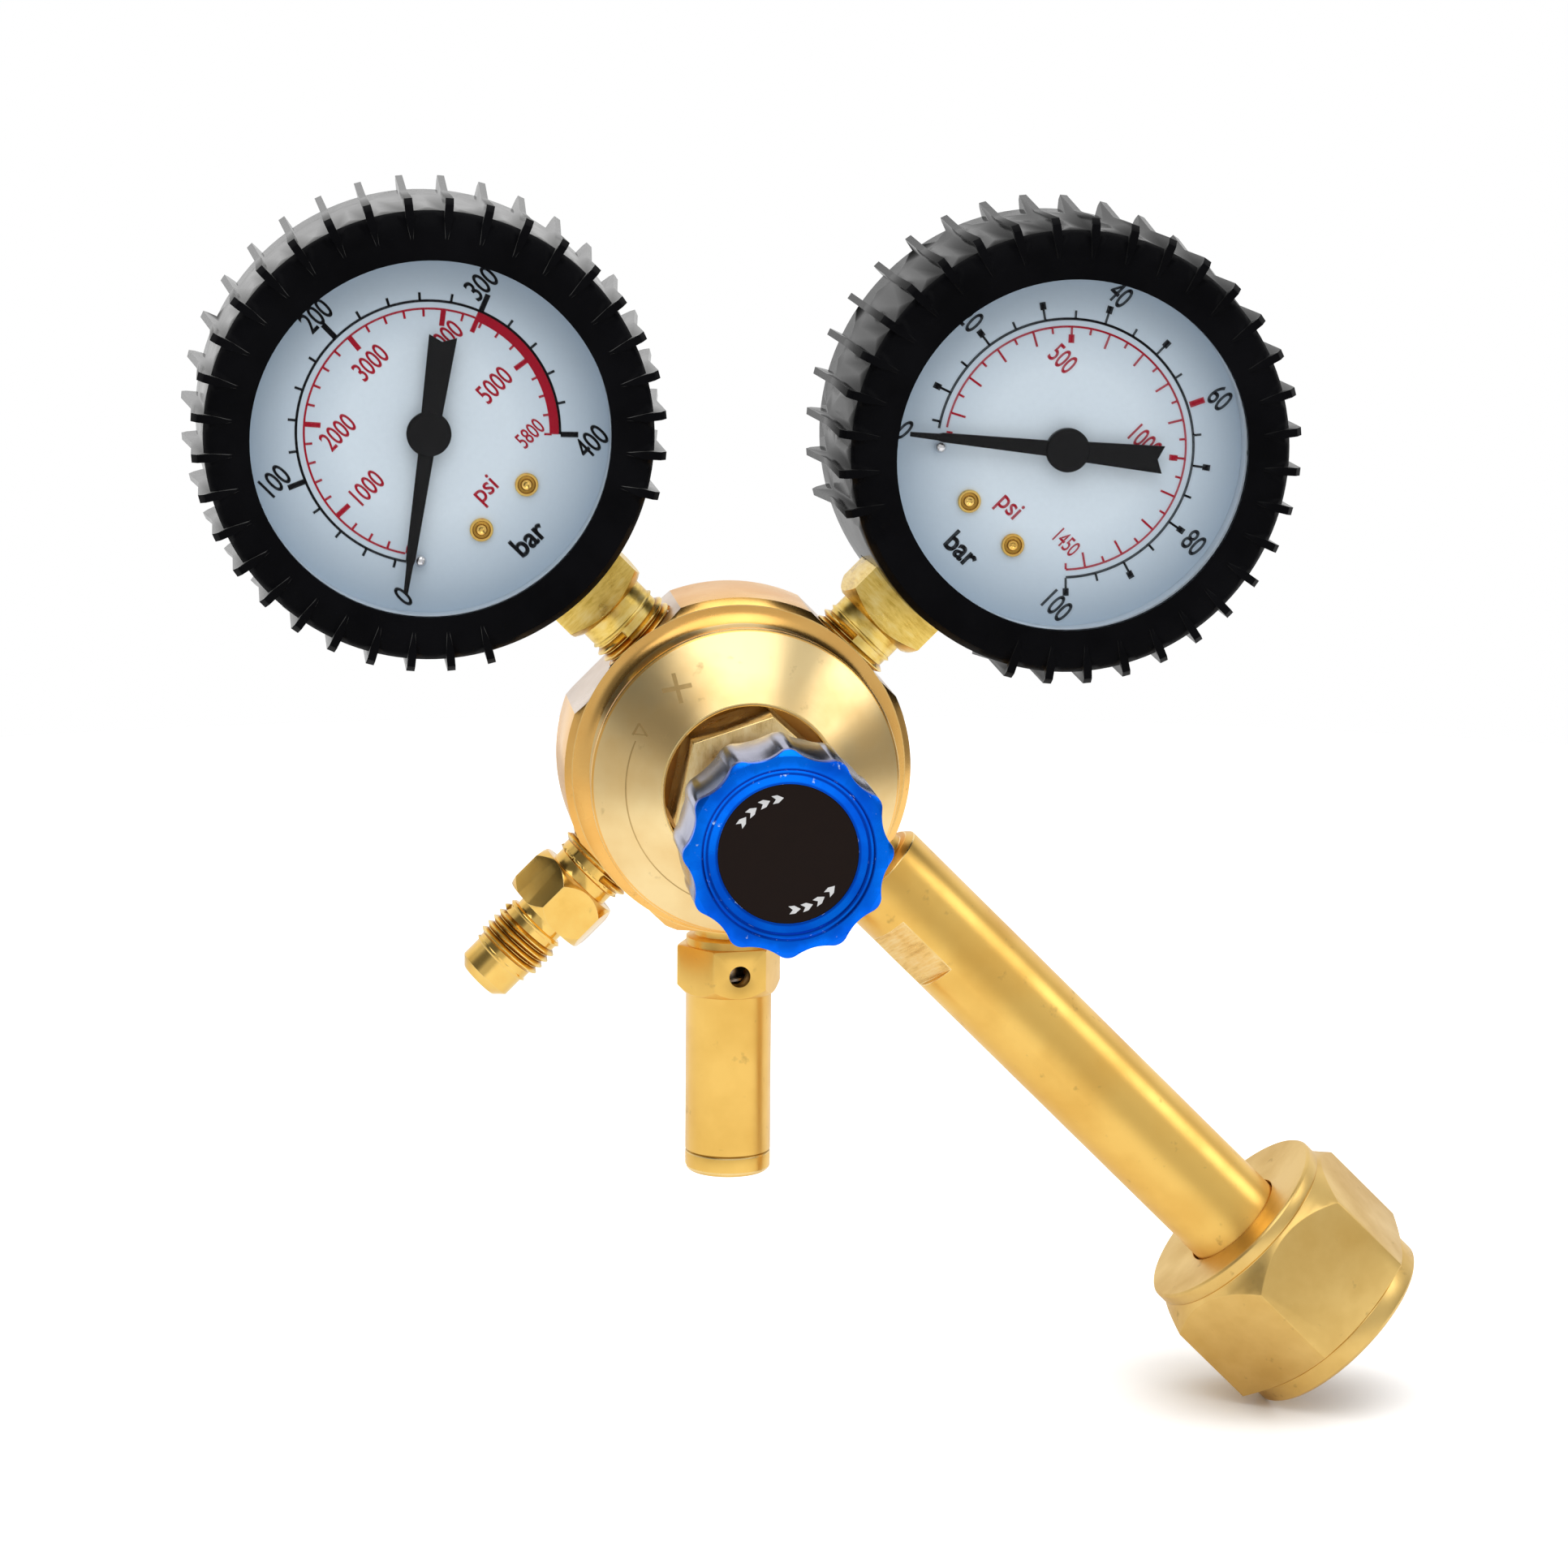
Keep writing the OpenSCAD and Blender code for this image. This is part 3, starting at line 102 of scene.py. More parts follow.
def makeCamera(c):
    data = bpy.data.cameras.new("shotCamera")
    data.lens = c["lens"]
    data.sensor_width = 36
    data.clip_start = 0.05
    camera = bpy.data.objects.new("shotCamera", data)
    bpy.context.scene.collection.objects.link(camera)
    turn = (
        Matrix.Rotation(radians(-c["azimuth"]), 4, "Z")
        @ Matrix.Rotation(radians(90 - c["height"]), 4, "X")
        @ Matrix.Rotation(radians(c["roll"]), 4, "Z")
    )
    camera.matrix_world = Matrix.Translation(Vector(c["place"])) @ turn
    bpy.context.scene.camera = camera


makeCamera(cameraSetup)
print("camera set")

# every material is a short chain of nodes, and is kept here under its name
materials = {}


def newMaterial(name):
    mat = bpy.data.materials.new(name)
    mat.use_nodes = True
    materials[name] = mat
    return mat.node_tree, mat.node_tree.nodes["Principled BSDF"]


def feed(tree, node, sockets):
    # each socket takes another node's output or a plain value
    for name, value in sockets.items():
        if isinstance(value, bpy.types.NodeSocket):
            tree.links.new(value, node.inputs[name])
        else:
            node.inputs[name].default_value = value


def addNode(tree, kind, sockets=None, **settings):
    node = tree.nodes.new(kind)
    for key, value in settings.items():
        setattr(node, key, value)
    feed(tree, node, sockets or {})
    return node


def objectCoords(tree, centre=(0, 0, 0), turn=(0, 0, 0), scale=(1, 1, 1)):
    coords = addNode(tree, "ShaderNodeTexCoord").outputs["Object"]
    sockets = {"Vector": coords, "Location": centre, "Rotation": turn, "Scale": scale}
    return addNode(tree, "ShaderNodeMapping", sockets, vector_type="TEXTURE").outputs["Vector"]


def noise(tree, vector, scale, detail=3.0, roughness=0.5):
    sockets = {"Vector": vector, "Scale": scale, "Detail": detail, "Roughness": roughness}
    return addNode(tree, "ShaderNodeTexNoise", sockets).outputs["Fac"]


def ramp(tree, fac, stops):
    node = addNode(tree, "ShaderNodeValToRGB", {"Fac": fac})
    ends = node.color_ramp.elements
    while len(ends) < len(stops):
        ends.new(0.5)
    for end, (place, colour) in zip(ends, stops):
        end.position = place
        end.color = (*colour, 1)
    return node.outputs["Color"]


def scaleRange(tree, value, low, high, fromLow=0.0, fromHigh=1.0):
    sockets = {"Value": value, "From Min": fromLow, "From Max": fromHigh, "To Min": low, "To Max": high}
    return addNode(tree, "ShaderNodeMapRange", sockets).outputs["Result"]


def bump(tree, shader, height, strength, distance, before=None):
    node = addNode(tree, "ShaderNodeBump", {"Height": height, "Strength": strength, "Distance": distance})
    if before is not None:
        feed(tree, node, {"Normal": before})
    feed(tree, shader, {"Normal": node.outputs["Normal"]})
    return node.outputs["Normal"]


def mixColour(tree, fac, first, second):
    # the Mix node's colours are its inputs 6 and 7, and its output 2
    first, second = ((*c, 1) if isinstance(c, tuple) else c for c in (first, second))
    return addNode(tree, "ShaderNodeMix", {0: fac, 6: first, 7: second}, data_type="RGBA").outputs[2]


def maths(tree, operation, a, b):
    return addNode(tree, "ShaderNodeMath", {0: a, 1: b}, operation=operation).outputs["Value"]


def vectorMaths(tree, operation, *vectors):
    node = addNode(tree, "ShaderNodeVectorMath", dict(enumerate(vectors)), operation=operation)
    return node.outputs["Value" if operation in ("LENGTH", "DOT_PRODUCT") else "Vector"]


def axisCoords(tree, place):
    # object coordinates laid on an axis, and the direction round that axis
    centre, turn = tuple(place.to_translation()), place.to_quaternion()
    coords = addNode(tree, "ShaderNodeTexCoord").outputs["Object"]
    offset = vectorMaths(tree, "SUBTRACT", coords, centre)
    sideways = vectorMaths(tree, "CROSS_PRODUCT", tuple(turn @ Vector((0, 0, 1))), offset)
    return objectCoords(tree, centre, tuple(turn.to_euler())), vectorMaths(tree, "NORMALIZE", sideways)


def reachAndHeight(tree, vector):
    # distance from the axis and height along it as a flat vector, and that distance alone
    split = addNode(tree, "ShaderNodeSeparateXYZ", {"Vector": vector}).outputs
    flat = addNode(tree, "ShaderNodeCombineXYZ", {"X": split["X"], "Y": split["Y"]})
    reach = vectorMaths(tree, "LENGTH", flat.outputs["Vector"])
    polar = addNode(tree, "ShaderNodeCombineXYZ", {"X": reach, "Y": split["Z"]})
    return polar.outputs["Vector"], reach


# brass finishes: two colours, roughness, size of the clouds and grain, and how the surface was worked;
# depths are in metres
brassFinishes = {
    "satin": {  # blasted stem
        "pale": (0.91, 0.58, 0.15), "deep": (0.79, 0.46, 0.10), "rough": (0.32, 0.42), "cloud": 55,
        "grain": 2600, "grainDepth": 12e-6, "rings": 0, "stain": 0.35, "anisotropic": 0.35,
    },
    "relief": {  # drawn barrel
        "pale": (0.91, 0.58, 0.15), "deep": (0.81, 0.49, 0.11), "rough": (0.3, 0.38), "cloud": 70,
        "grain": 2600, "grainDepth": 8e-6, "rings": 4e-6, "stain": 0.3, "anisotropic": 0.4,
    },
    "nut": {
        "pale": (0.82, 0.56, 0.19), "deep": (0.68, 0.43, 0.12), "rough": (0.34, 0.44), "cloud": 70,
        "grain": 2600, "grainDepth": 12e-6, "rings": 0, "stain": 0.4, "anisotropic": 0,
    },
    "bonnet": {  # fine turned cone
        "pale": (0.94, 0.72, 0.36), "deep": (0.86, 0.60, 0.26), "rough": (0.28, 0.36), "cloud": 60,
        "grain": 2200, "grainDepth": 10e-6, "rings": 8e-6, "stain": 0.3, "anisotropic": 0.3,
    },
    "body": {
        "pale": (0.97, 0.57, 0.17), "deep": (0.88, 0.46, 0.11), "rough": (0.22, 0.32), "cloud": 50,
        "grain": 1800, "grainDepth": 10e-6, "rings": 8e-6, "stain": 0.3, "anisotropic": 0.2,
    },
    "flats": {  # milled sides of the body
        "pale": (0.82, 0.69, 0.58), "deep": (0.7, 0.55, 0.43), "rough": (0.26, 0.36), "cloud": 60,
        "grain": 1800, "grainDepth": 10e-6, "rings": 0, "stain": 0.4, "anisotropic": 0,
    },
    "bright": {  # machined fittings
        "pale": (0.92, 0.61, 0.17), "deep": (0.84, 0.50, 0.11), "rough": (0.12, 0.24), "cloud": 120,
        "grain": 1500, "grainDepth": 6e-6, "rings": 10e-6, "stain": 0.25, "anisotropic": 0.3,
    },
    "edge": {  # rubbed edges
        "pale": (0.93, 0.70, 0.32), "deep": (0.86, 0.60, 0.22), "rough": (0.22, 0.32), "cloud": 150,
        "grain": 1500, "grainDepth": 4e-6, "rings": 0, "stain": 0, "anisotropic": 0,
    },
}
tarnish = (0.28, 0.17, 0.06)
black, white = (0, 0, 0), (1, 1, 1)


def brassLook(name, finish, place):
    # metal with tarnish clouds, small stains, a fine grain and lathe rings round an axis
    f = brassFinishes[finish]
    tree, shader = newMaterial(name)
    vector, roundAxis = axisCoords(tree, place)
    clouds = noise(tree, vector, f["cloud"], 4.0, 0.55)
    colour = ramp(tree, clouds, [(0.34, f["deep"]), (0.6, f["pale"])])
    stains = ramp(tree, noise(tree, vector, 330.0, 3.0, 0.6), [(0.66, black), (0.76, white)])
    rough = scaleRange(tree, clouds, f["rough"][1], f["rough"][0], 0.35, 0.6)
    feed(tree, shader, {
        "Base Color": mixColour(tree, maths(tree, "MULTIPLY", stains, f["stain"]), colour, tarnish),
        "Metallic": 1,
        "Roughness": maths(tree, "ADD", rough, maths(tree, "MULTIPLY", stains, 0.1)),
    })
    under = bump(tree, shader, noise(tree, vector, f["grain"], 2.0, 0.6), 0.5, f["grainDepth"])
    if f["rings"]:
        polar = reachAndHeight(tree, vector)[0]
        bump(tree, shader, noise(tree, polar, 1500.0, 2.0, 0.6), 0.6, f["rings"], under)
    if f["anisotropic"]:
        feed(tree, shader, {
            "Anisotropic": f["anisotropic"], "Anisotropic Rotation": 0.25, "Tangent": roundAxis,
        })


def sawnBrass(name, place, along, colours, depth=60e-6):
    # rough sawn or filed faces: scratches stretched across the bar, over shallow steps
    tree, shader = newMaterial(name)
    centre, turn = tuple(place.to_translation()), tuple(place.to_quaternion().to_euler())
    scratch = noise(tree, objectCoords(tree, centre, turn, along), 900.0, 5.0, 0.7)
    coarse = noise(tree, objectCoords(tree, centre, turn), 260.0, 3.0, 0.6)
    both = maths(tree, "ADD", maths(tree, "MULTIPLY", scratch, 0.6), maths(tree, "MULTIPLY", coarse, 0.4))
    feed(tree, shader, {
        "Base Color": ramp(tree, both, list(zip((0.36, 0.5, 0.64), colours))),
        "Metallic": 1,
        "Roughness": scaleRange(tree, coarse, 0.22, 0.42, 0.3, 0.7),
    })
    bump(tree, shader, both, 0.7, depth)


# painted shade and highlight of a thread: its colours in its valleys, halfway up and on its crests
threadShadeColours = [(0.05, (0.36, 0.18, 0.03)), (0.5, (0.8, 0.48, 0.1)), (0.95, (0.95, 0.7, 0.24))]


def threadShadeLook(name, place, t):
    # dark in the valleys of a thread as painted shade, and bright on its crests, partly rubbed and partly
    # painted highlight
    tree, shader = newMaterial(name)
    vector = axisCoords(tree, place)[0]
    reach = reachAndHeight(tree, vector)[1]
    share = scaleRange(tree, reach, 0.0, 1.0, (t["radius"] - t["depth"]) * mm, t["radius"] * mm)
    cloud = noise(tree, vector, 260.0, 3.0, 0.6)
    share = maths(tree, "ADD", share, scaleRange(tree, cloud, -0.12, 0.12, 0.3, 0.7))
    feed(tree, shader, {
        "Base Color": ramp(tree, share, threadShadeColours),
        "Metallic": 1,
        "Roughness": scaleRange(tree, cloud, 0.18, 0.3, 0.3, 0.7),
    })
    bump(tree, shader, noise(tree, vector, 1800.0, 2.0, 0.6), 0.4, 8e-6)


def rubberLook(name, colour, rough, index, speckle):
    # black rubber that only mirrors at a low angle, with a little dust
    tree, shader = newMaterial(name)
    vector = objectCoords(tree)
    cloud = noise(tree, vector, 95.0, 4.0, 0.6)
    tint = ramp(tree, cloud, [(0.35, tuple(c * 0.6 for c in colour)), (0.65, colour)])
    dust = ramp(tree, noise(tree, vector, 420.0, 4.0, 0.7), [(0.66, black), (0.8, white)])
    feed(tree, shader, {
        "Base Color": mixColour(tree, maths(tree, "MULTIPLY", dust, speckle), tint, (0.2, 0.2, 0.2)),
        "Roughness": scaleRange(tree, cloud, rough * 0.85, rough * 1.15, 0.3, 0.7),
        "IOR": index,
    })
    bump(tree, shader, noise(tree, vector, 1100.0, 3.0, 0.6), 0.3, 12e-6)


def steelLook(name, colour, rough, grain=500.0, depth=20e-6):
    # any plain metal, in clouds of two shades
    tree, shader = newMaterial(name)
    vector = objectCoords(tree)
    speck = noise(tree, vector, grain, 3.0, 0.6)
    cloud = noise(tree, vector, 90.0, 3.0, 0.5)
    both = maths(tree, "ADD", maths(tree, "MULTIPLY", speck, 0.4), maths(tree, "MULTIPLY", cloud, 0.6))
    feed(tree, shader, {
        "Base Color": ramp(tree, both, [(0.38, tuple(c * 0.8 for c in colour)), (0.62, colour)]),
        "Metallic": 1,
        "Roughness": scaleRange(tree, both, rough * 1.3, rough * 0.8, 0.35, 0.65),
    })
    bump(tree, shader, speck, 0.4, depth)


def paintLook(name, colour, rough, gloss=0.5):
    # plastic, print or paint: gloss is the strength of its mirror part
    tree, shader = newMaterial(name)
    speck = noise(tree, objectCoords(tree), 400.0, 3.0, 0.6)
    feed(tree, shader, {
        "Base Color": ramp(tree, speck, [(0.35, tuple(c * 0.9 for c in colour)), (0.65, colour)]),
        "Roughness": scaleRange(tree, speck, rough * 0.75, rough * 1.25, 0.3, 0.7),
        "Specular IOR Level": gloss,
    })
    bump(tree, shader, speck, 0.3, 10e-6)


# the knob's blue face: its colours, and rings of painted shade at each turned groove, as shares of 20 mm from
# its axis
anodised = {
    "dark": (0.0, 0.11, 0.80), "pale": (0.0, 0.18, 1.0),
    "groove": (0.0, 0.045, 0.42), "bare": (0.45, 0.62, 0.95),
    "perReach": 50.0,
    "grooves": [
        (0.5, white), (0.515, black), (0.53, white), (0.57, white), (0.578, black), (0.592, black),
        (0.598, white), (0.607, white), (0.615, black), (0.624, black), (0.632, white),
    ],
}


def anodisedLook(name, chips, a):
    # blue anodised metal, with more bare specks the higher chips is
    tree, shader = newMaterial(name)
    vector = objectCoords(tree)
    cloud = noise(tree, vector, 140.0, 3.0, 0.5)
    blue = ramp(tree, cloud, [(0.35, a["dark"]), (0.6, a["pale"])])
    bare = ramp(tree, noise(tree, vector, 700.0, 3.0, 0.6), [(0.68 - chips, black), (0.74 - chips, white)])
    reach = reachAndHeight(tree, axisCoords(tree, bodyAxis)[0])[1]
    # painted shade: the blue darkens to the groove colour at each groove's radius
    grooves = ramp(tree, maths(tree, "MULTIPLY", reach, a["perReach"]), a["grooves"])
    feed(tree, shader, {
        "Base Color": mixColour(tree, bare, mixColour(tree, grooves, a["groove"], blue), a["bare"]),
        "Metallic": 0.95,
        "Roughness": scaleRange(tree, cloud, 0.32, 0.24, 0.35, 0.65),
    })
    bump(tree, shader, noise(tree, vector, 1500.0, 2.0, 0.5), 0.3, 8e-6)


# a dial's colours from its centre to its rim, darker at the rim as painted shade from the case and the boot's
# lip, its radius in metres, and the tint of its fibres
dialSheet = {
    "shades": [(0.45, (0.78, 0.89, 0.98)), (1.0, (0.47, 0.58, 0.69))],
    "radius": 0.028, "fibre": (0.4, 0.48, 0.56),
}


def dialLook(name, place, d):
    # printed sheet, with painted shade that darkens it towards its rim
    tree, shader = newMaterial(name)
    vector = axisCoords(tree, place)[0]
    reach = reachAndHeight(tree, vector)[1]
    # painted shade: the sheet's colour darkens from its centre to its rim
    shade = ramp(tree, scaleRange(tree, reach, 0.0, 1.0, 0.0, d["radius"]), d["shades"])
    fibre = noise(tree, vector, 1200.0, 3.0, 0.6)
    feed(tree, shader, {
        "Base Color": mixColour(tree, scaleRange(tree, fibre, 0.0, 0.06, 0.3, 0.7), shade, d["fibre"]),
        "Roughness": scaleRange(tree, fibre, 0.5, 0.62, 0.3, 0.7),
        "Specular IOR Level": 0.15,
    })
    bump(tree, shader, fibre, 0.3, 4e-6)


def lensLook(name):
    tree, shader = newMaterial(name)
    smear = noise(tree, objectCoords(tree), 60.0, 3.0, 0.5)
    feed(tree, shader, {
        "Base Color": (0.97, 0.985, 1, 1), "Roughness": scaleRange(tree, smear, 0.0, 0.03, 0.3, 0.7),
        "Transmission Weight": 1, "IOR": 1.45, "Alpha": 0.06,
    })


# each material is laid on the axis of the piece that it was turned or drawn about
brassLook("bodyBrass", "body", bodyAxis)
brassLook("flatBrass", "flats", bodyAxis)
brassLook("bonnetBrass", "bonnet", bodyAxis)
brassLook("innerBrass", "bright", bodyAxis)
brassLook("edgeBrass", "edge", bodyAxis)
brassLook("stemBrass", "satin", axisOf("inlet"))
brassLook("nutBrass", "nut", axisOf("inlet"))
brassLook("outletBrass", "bright", axisOf("outlet"))
brassLook("reliefBrass", "relief", axisOf("relief"))
sawnColours = {  # deep, middle and pale
    "gland": ((0.62, 0.42, 0.16), (0.86, 0.63, 0.29), (0.95, 0.76, 0.42)),
    "flat": ((0.66, 0.4, 0.12), (0.92, 0.62, 0.22), (0.98, 0.76, 0.38)),
    "socket": ((0.6, 0.38, 0.06), (0.88, 0.62, 0.15), (0.96, 0.76, 0.3)),
}
sawnBrass("glandBrass", bodyAxis, (1, 3, 0.6), sawnColours["gland"], 30e-6)
sawnBrass("flatSawn", axisOf("inlet"), (5, 5, 0.6), sawnColours["flat"])
for gauge in ("contents", "delivery"):
    sawnBrass(gauge + "Sawn", axisOf(gauge), (4, 4, 0.7), sawnColours["socket"])
    dialLook(gauge + "Dial", dialPlace(gauge, layout["dialDepth"]), dialSheet)
steelLook("steel", (0.62, 0.62, 0.64), 0.35)
steelLook("pinSteel", (0.8, 0.8, 0.82), 0.2)
steelLook("wire", (0.4, 0.4, 0.42), 0.4)
steelLook("knobMetal", (0.45, 0.455, 0.57), 0.22, 200.0, 2e-6)
steelLook("grooveBrass", (0.5, 0.28, 0.05), 0.3)
steelLook("engraved", (0.62, 0.42, 0.17), 0.45)
anodisedLook("knobBlue", 0.0, anodised)
anodisedLook("knobChipped", 0.06, anodised)
rubberLook("bootRubber", (0.0045, 0.0045, 0.0055), 0.42, 1.09, 0.015)
# rubber of the ribs' broken edges, painted lighter as a highlight on the fingers
rubberLook("bootEdge", (0.012, 0.012, 0.013), 0.3, 1.38, 0.04)
# the boots' side walls: the same rubber painted lighter, a painted reflection of the white backdrop that they
# face at a low angle; the contents boot's side much lighter than the delivery boot's
rubberLook("contentsSide", (0.085, 0.085, 0.082), 0.2, 1.28, 0.5)
rubberLook("deliverySide", (0.02, 0.02, 0.02), 0.18, 1.1, 0.15)
paintLook("labelBlack", (0.014, 0.0075, 0.0055), 0.5, 0.1)
paintLook("ringWhite", (0.5, 0.58, 0.66), 0.45, 0.3)
paintLook("pointerBlack", (0.008, 0.008, 0.009), 0.5, 0.12)
paintLook("printBlack", (0.008, 0.008, 0.01), 0.7, 0.05)
paintLook("printRed", (0.42, 0.012, 0.03), 0.7, 0.05)
paintLook("markWhite", (0.85, 0.85, 0.85), 0.5, 0.2)
paintLook("gasketDark", (0.03, 0.02, 0.02), 0.7)
paintLook("sealant", (0.012, 0.01, 0.01), 0.6, 0.3)
lensLook("lensClear")
print("materials mixed")

# pieces: one that is shown for a solid takes that solid's body
bodyOf = {n: b for b, members in frame["record"]["behaviour"]["bodies"].items() for n in members}


def meshFrom(bm, name, place=None, sharpAngle=35):
    # closes doubles, turns normals out and smooths all but the sharp edges
    # a mesh that is given a place is in millimetres
    bmesh.ops.remove_doubles(bm, verts=bm.verts, dist=1e-6 if place is None else 1e-3)
    bmesh.ops.recalc_face_normals(bm, faces=bm.faces)
    if place is not None:
        bmesh.ops.transform(bm, matrix=place, verts=bm.verts)
    mesh = bpy.data.meshes.new(name)
    bm.to_mesh(mesh)
    bm.free()
    mesh.polygons.foreach_set("use_smooth", [True] * len(mesh.polygons))
    mesh.set_sharp_from_angle(angle=radians(sharpAngle))
    return mesh


def addPiece(name, mesh, looks, body, replaced=None):
    piece = bpy.data.objects.new(name, mesh)
    bpy.context.scene.collection.objects.link(piece)
    for look in looks:
        mesh.materials.append(materials[look])
    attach(piece, body)
    if replaced:
        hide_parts(replaced)
    return piece


def standIn(node, ending, bm, looks, place=None, sharpAngle=35):
    name = node + ending
    return addPiece(name, meshFrom(bm, name, place, sharpAngle), looks, bodyOf[node], node)


def nodeCopy(node):
    # a copy of a CAD node, in metres, with its doubles closed
    bm = bmesh.new()
    bm.from_mesh(nodes[node].data)
    bmesh.ops.remove_doubles(bm, verts=bm.verts, dist=2e-6)
    bmesh.ops.dissolve_limit(bm, angle_limit=radians(0.6), verts=bm.verts, edges=bm.edges)
    return bm


def joinInto(bm, other, matrix):
    # adds another mesh to this one and frees it
    bmesh.ops.recalc_face_normals(other, faces=other.faces)
    bmesh.ops.transform(other, matrix=matrix, verts=other.verts)
    carrier = bpy.data.meshes.new("carrier")
    other.to_mesh(carrier)
    other.free()
    bm.from_mesh(carrier)
    bpy.data.meshes.remove(carrier)


def pointsFrom(bm, place):
    # each point with where it lies as seen from a place, in millimetres
    back = place.inverted()
    return [(vert, back @ vert.co) for vert in bm.verts]


def facesFrom(bm, place):
    # each face with its middle and the way it looks, as seen from a place
    back = place.inverted()
    return [(f, back @ f.calc_center_median(), (back.to_3x3() @ f.normal).normalized()) for f in bm.faces]


def reachOf(point):
    # distance from the z axis
    return sqrt(point.x * point.x + point.y * point.y)


def scaleReach(point, factor):
    point.x *= factor
    point.y *= factor


def sweep(bm, section, angle, steps, rise=0.0, whole=False):
    # spins a closed section round z, or an open profile by a whole turn; returns the edges at both ends
    corners = [bm.verts.new(point) for point in section]
    following = corners[1:] if whole else corners[1:] + corners[:1]
    edges = [bm.edges.new(pair) for pair in zip(corners, following)]
    swept = bmesh.ops.spin(
        bm, geom=corners + edges, cent=(0, 0, 0), axis=(0, 0, 1), dvec=(0, 0, rise),
        angle=angle, steps=steps, use_merge=whole, use_duplicate=False,
    )
    return edges + [e for e in swept["geom_last"] if isinstance(e, bmesh.types.BMEdge)]


def thicken(bm, faces, height):
    # raises flat faces to closed plates
    raised = bmesh.ops.extrude_face_region(bm, geom=faces)["geom"]
    top = [v for v in raised if isinstance(v, bmesh.types.BMVert)]
    bmesh.ops.translate(bm, vec=(0, 0, height), verts=top)


# width of the broken edge of each piece that is shown as a dressed copy, in millimetres
polished = {
    "body": 0.12, "bonnet": 0.15, "gland_nut": 0.15, "knob": 0.3, "knob_face": 0.14, "inlet_stem": 0.12,
    "inlet_nut": 0.15, "outlet_fitting": 0.12, "relief_body": 0.15, "relief_cap": 0.22,
    "contents_socket": 0.2, "delivery_socket": 0.2, "contents_boot": 0.26, "delivery_boot": 0.26,
    "contents_pointer": 0.1, "delivery_pointer": 0.1,
    "contents_spacer_ring": 0.1, "delivery_spacer_ring": 0.1,
}


def breakEdges(bm, width, segments=2, angle=28):
    # small round on each sharp edge, which takes the second material: the rubbed one, and on the boots rubber
    # painted lighter as a highlight
    edges = [e for e in bm.edges if len(e.link_faces) == 2 and e.calc_face_angle(0) > radians(angle)]
    done = bmesh.ops.bevel(
        bm, geom=edges, offset=width * mm, offset_type="OFFSET", affect="EDGES",
        segments=segments, profile=0.5, material=-1, clamp_overlap=True,
    )
    for face in done["faces"]:
        face.material_index = 1


# each node's materials: on plain faces, on broken edges (rubbed, and on the boots painted lighter as a
# highlight) and on marked faces; one that starts with a capital has its gauge's name before it, and a node
# that isn't named here is turned brass all over
nodeLooks = {
    "body": ("bodyBrass", "edgeBrass", "flatBrass"), "bonnet": ("bonnetBrass", "edgeBrass", "bodyBrass"),
    "gland_nut": ("glandBrass", "edgeBrass"), "diaphragm": ("gasketDark",), "slip_ring": ("steel",),
    "range_spring": ("wire",), "poppet_spring": ("wire",), "relief_spring": ("wire",),
    "valve_poppet": ("steel",), "relief_poppet": ("steel",),
    "knob": ("knobMetal", "knobMetal"), "knob_face": ("knobBlue", "knobChipped"),
    "knob_label": ("labelBlack",),
    "inlet_stem": ("stemBrass", "edgeBrass", "flatSawn"), "inlet_nut": ("nutBrass", "nutBrass"),
    "inlet_filter": ("stemBrass",), "outlet_fitting": ("outletBrass", "edgeBrass"),
    "relief_body": ("reliefBrass", "edgeBrass", "grooveBrass"),
    "relief_cap": ("reliefBrass", "edgeBrass", "grooveBrass"),
    "socket": ("Sawn", "edgeBrass"), "boot": ("bootRubber", "bootEdge", "Side"), "case": ("steel",),
    "bezel": ("steel",), "lens": ("lensClear",), "spacer_ring": ("ringWhite", "ringWhite"), "dial": ("Dial",),
    "dial_screws": ("innerBrass", "grooveBrass"), "stop_pin": ("pinSteel",), "link": ("steel",),
    "pointer": ("pointerBlack", "pointerBlack"),
}


def looksOf(node):
    gauge, short = node.split("_", 1) if node.startswith(("contents_", "delivery_")) else ("", node)
    return [look if look in materials else gauge + look for look in nodeLooks.get(short, ("innerBrass",))]


# threads that show, in millimetres, each on the axis of the port that its piece is named for
portThread = {"radius": 6.55, "depth": 0.78, "pitch": 1.337, "start": 18.9, "end": 27.9}
hoseThread = {"radius": 5.55, "depth": 0.72, "pitch": 1.27, "start": 40.4, "end": 47.3}
threads = {
    "outlet_fitting": (portThread, hoseThread),
    "contents_socket": (portThread,), "delivery_socket": (portThread,),
}
threadForm = {
    "around": 60,  # steps in a turn
    "sunk": 0.15,  # how deep the ridge stands in the bar
    "under": 0.05,  # how far the bar is turned down below the thread
    "root": 0.9, "crest": 0.12,  # half widths, as shares of half the pitch
    "lead": 0.1, "chamfer": 1.1,  # how far below the core the ends start, and how steeply they rise
}


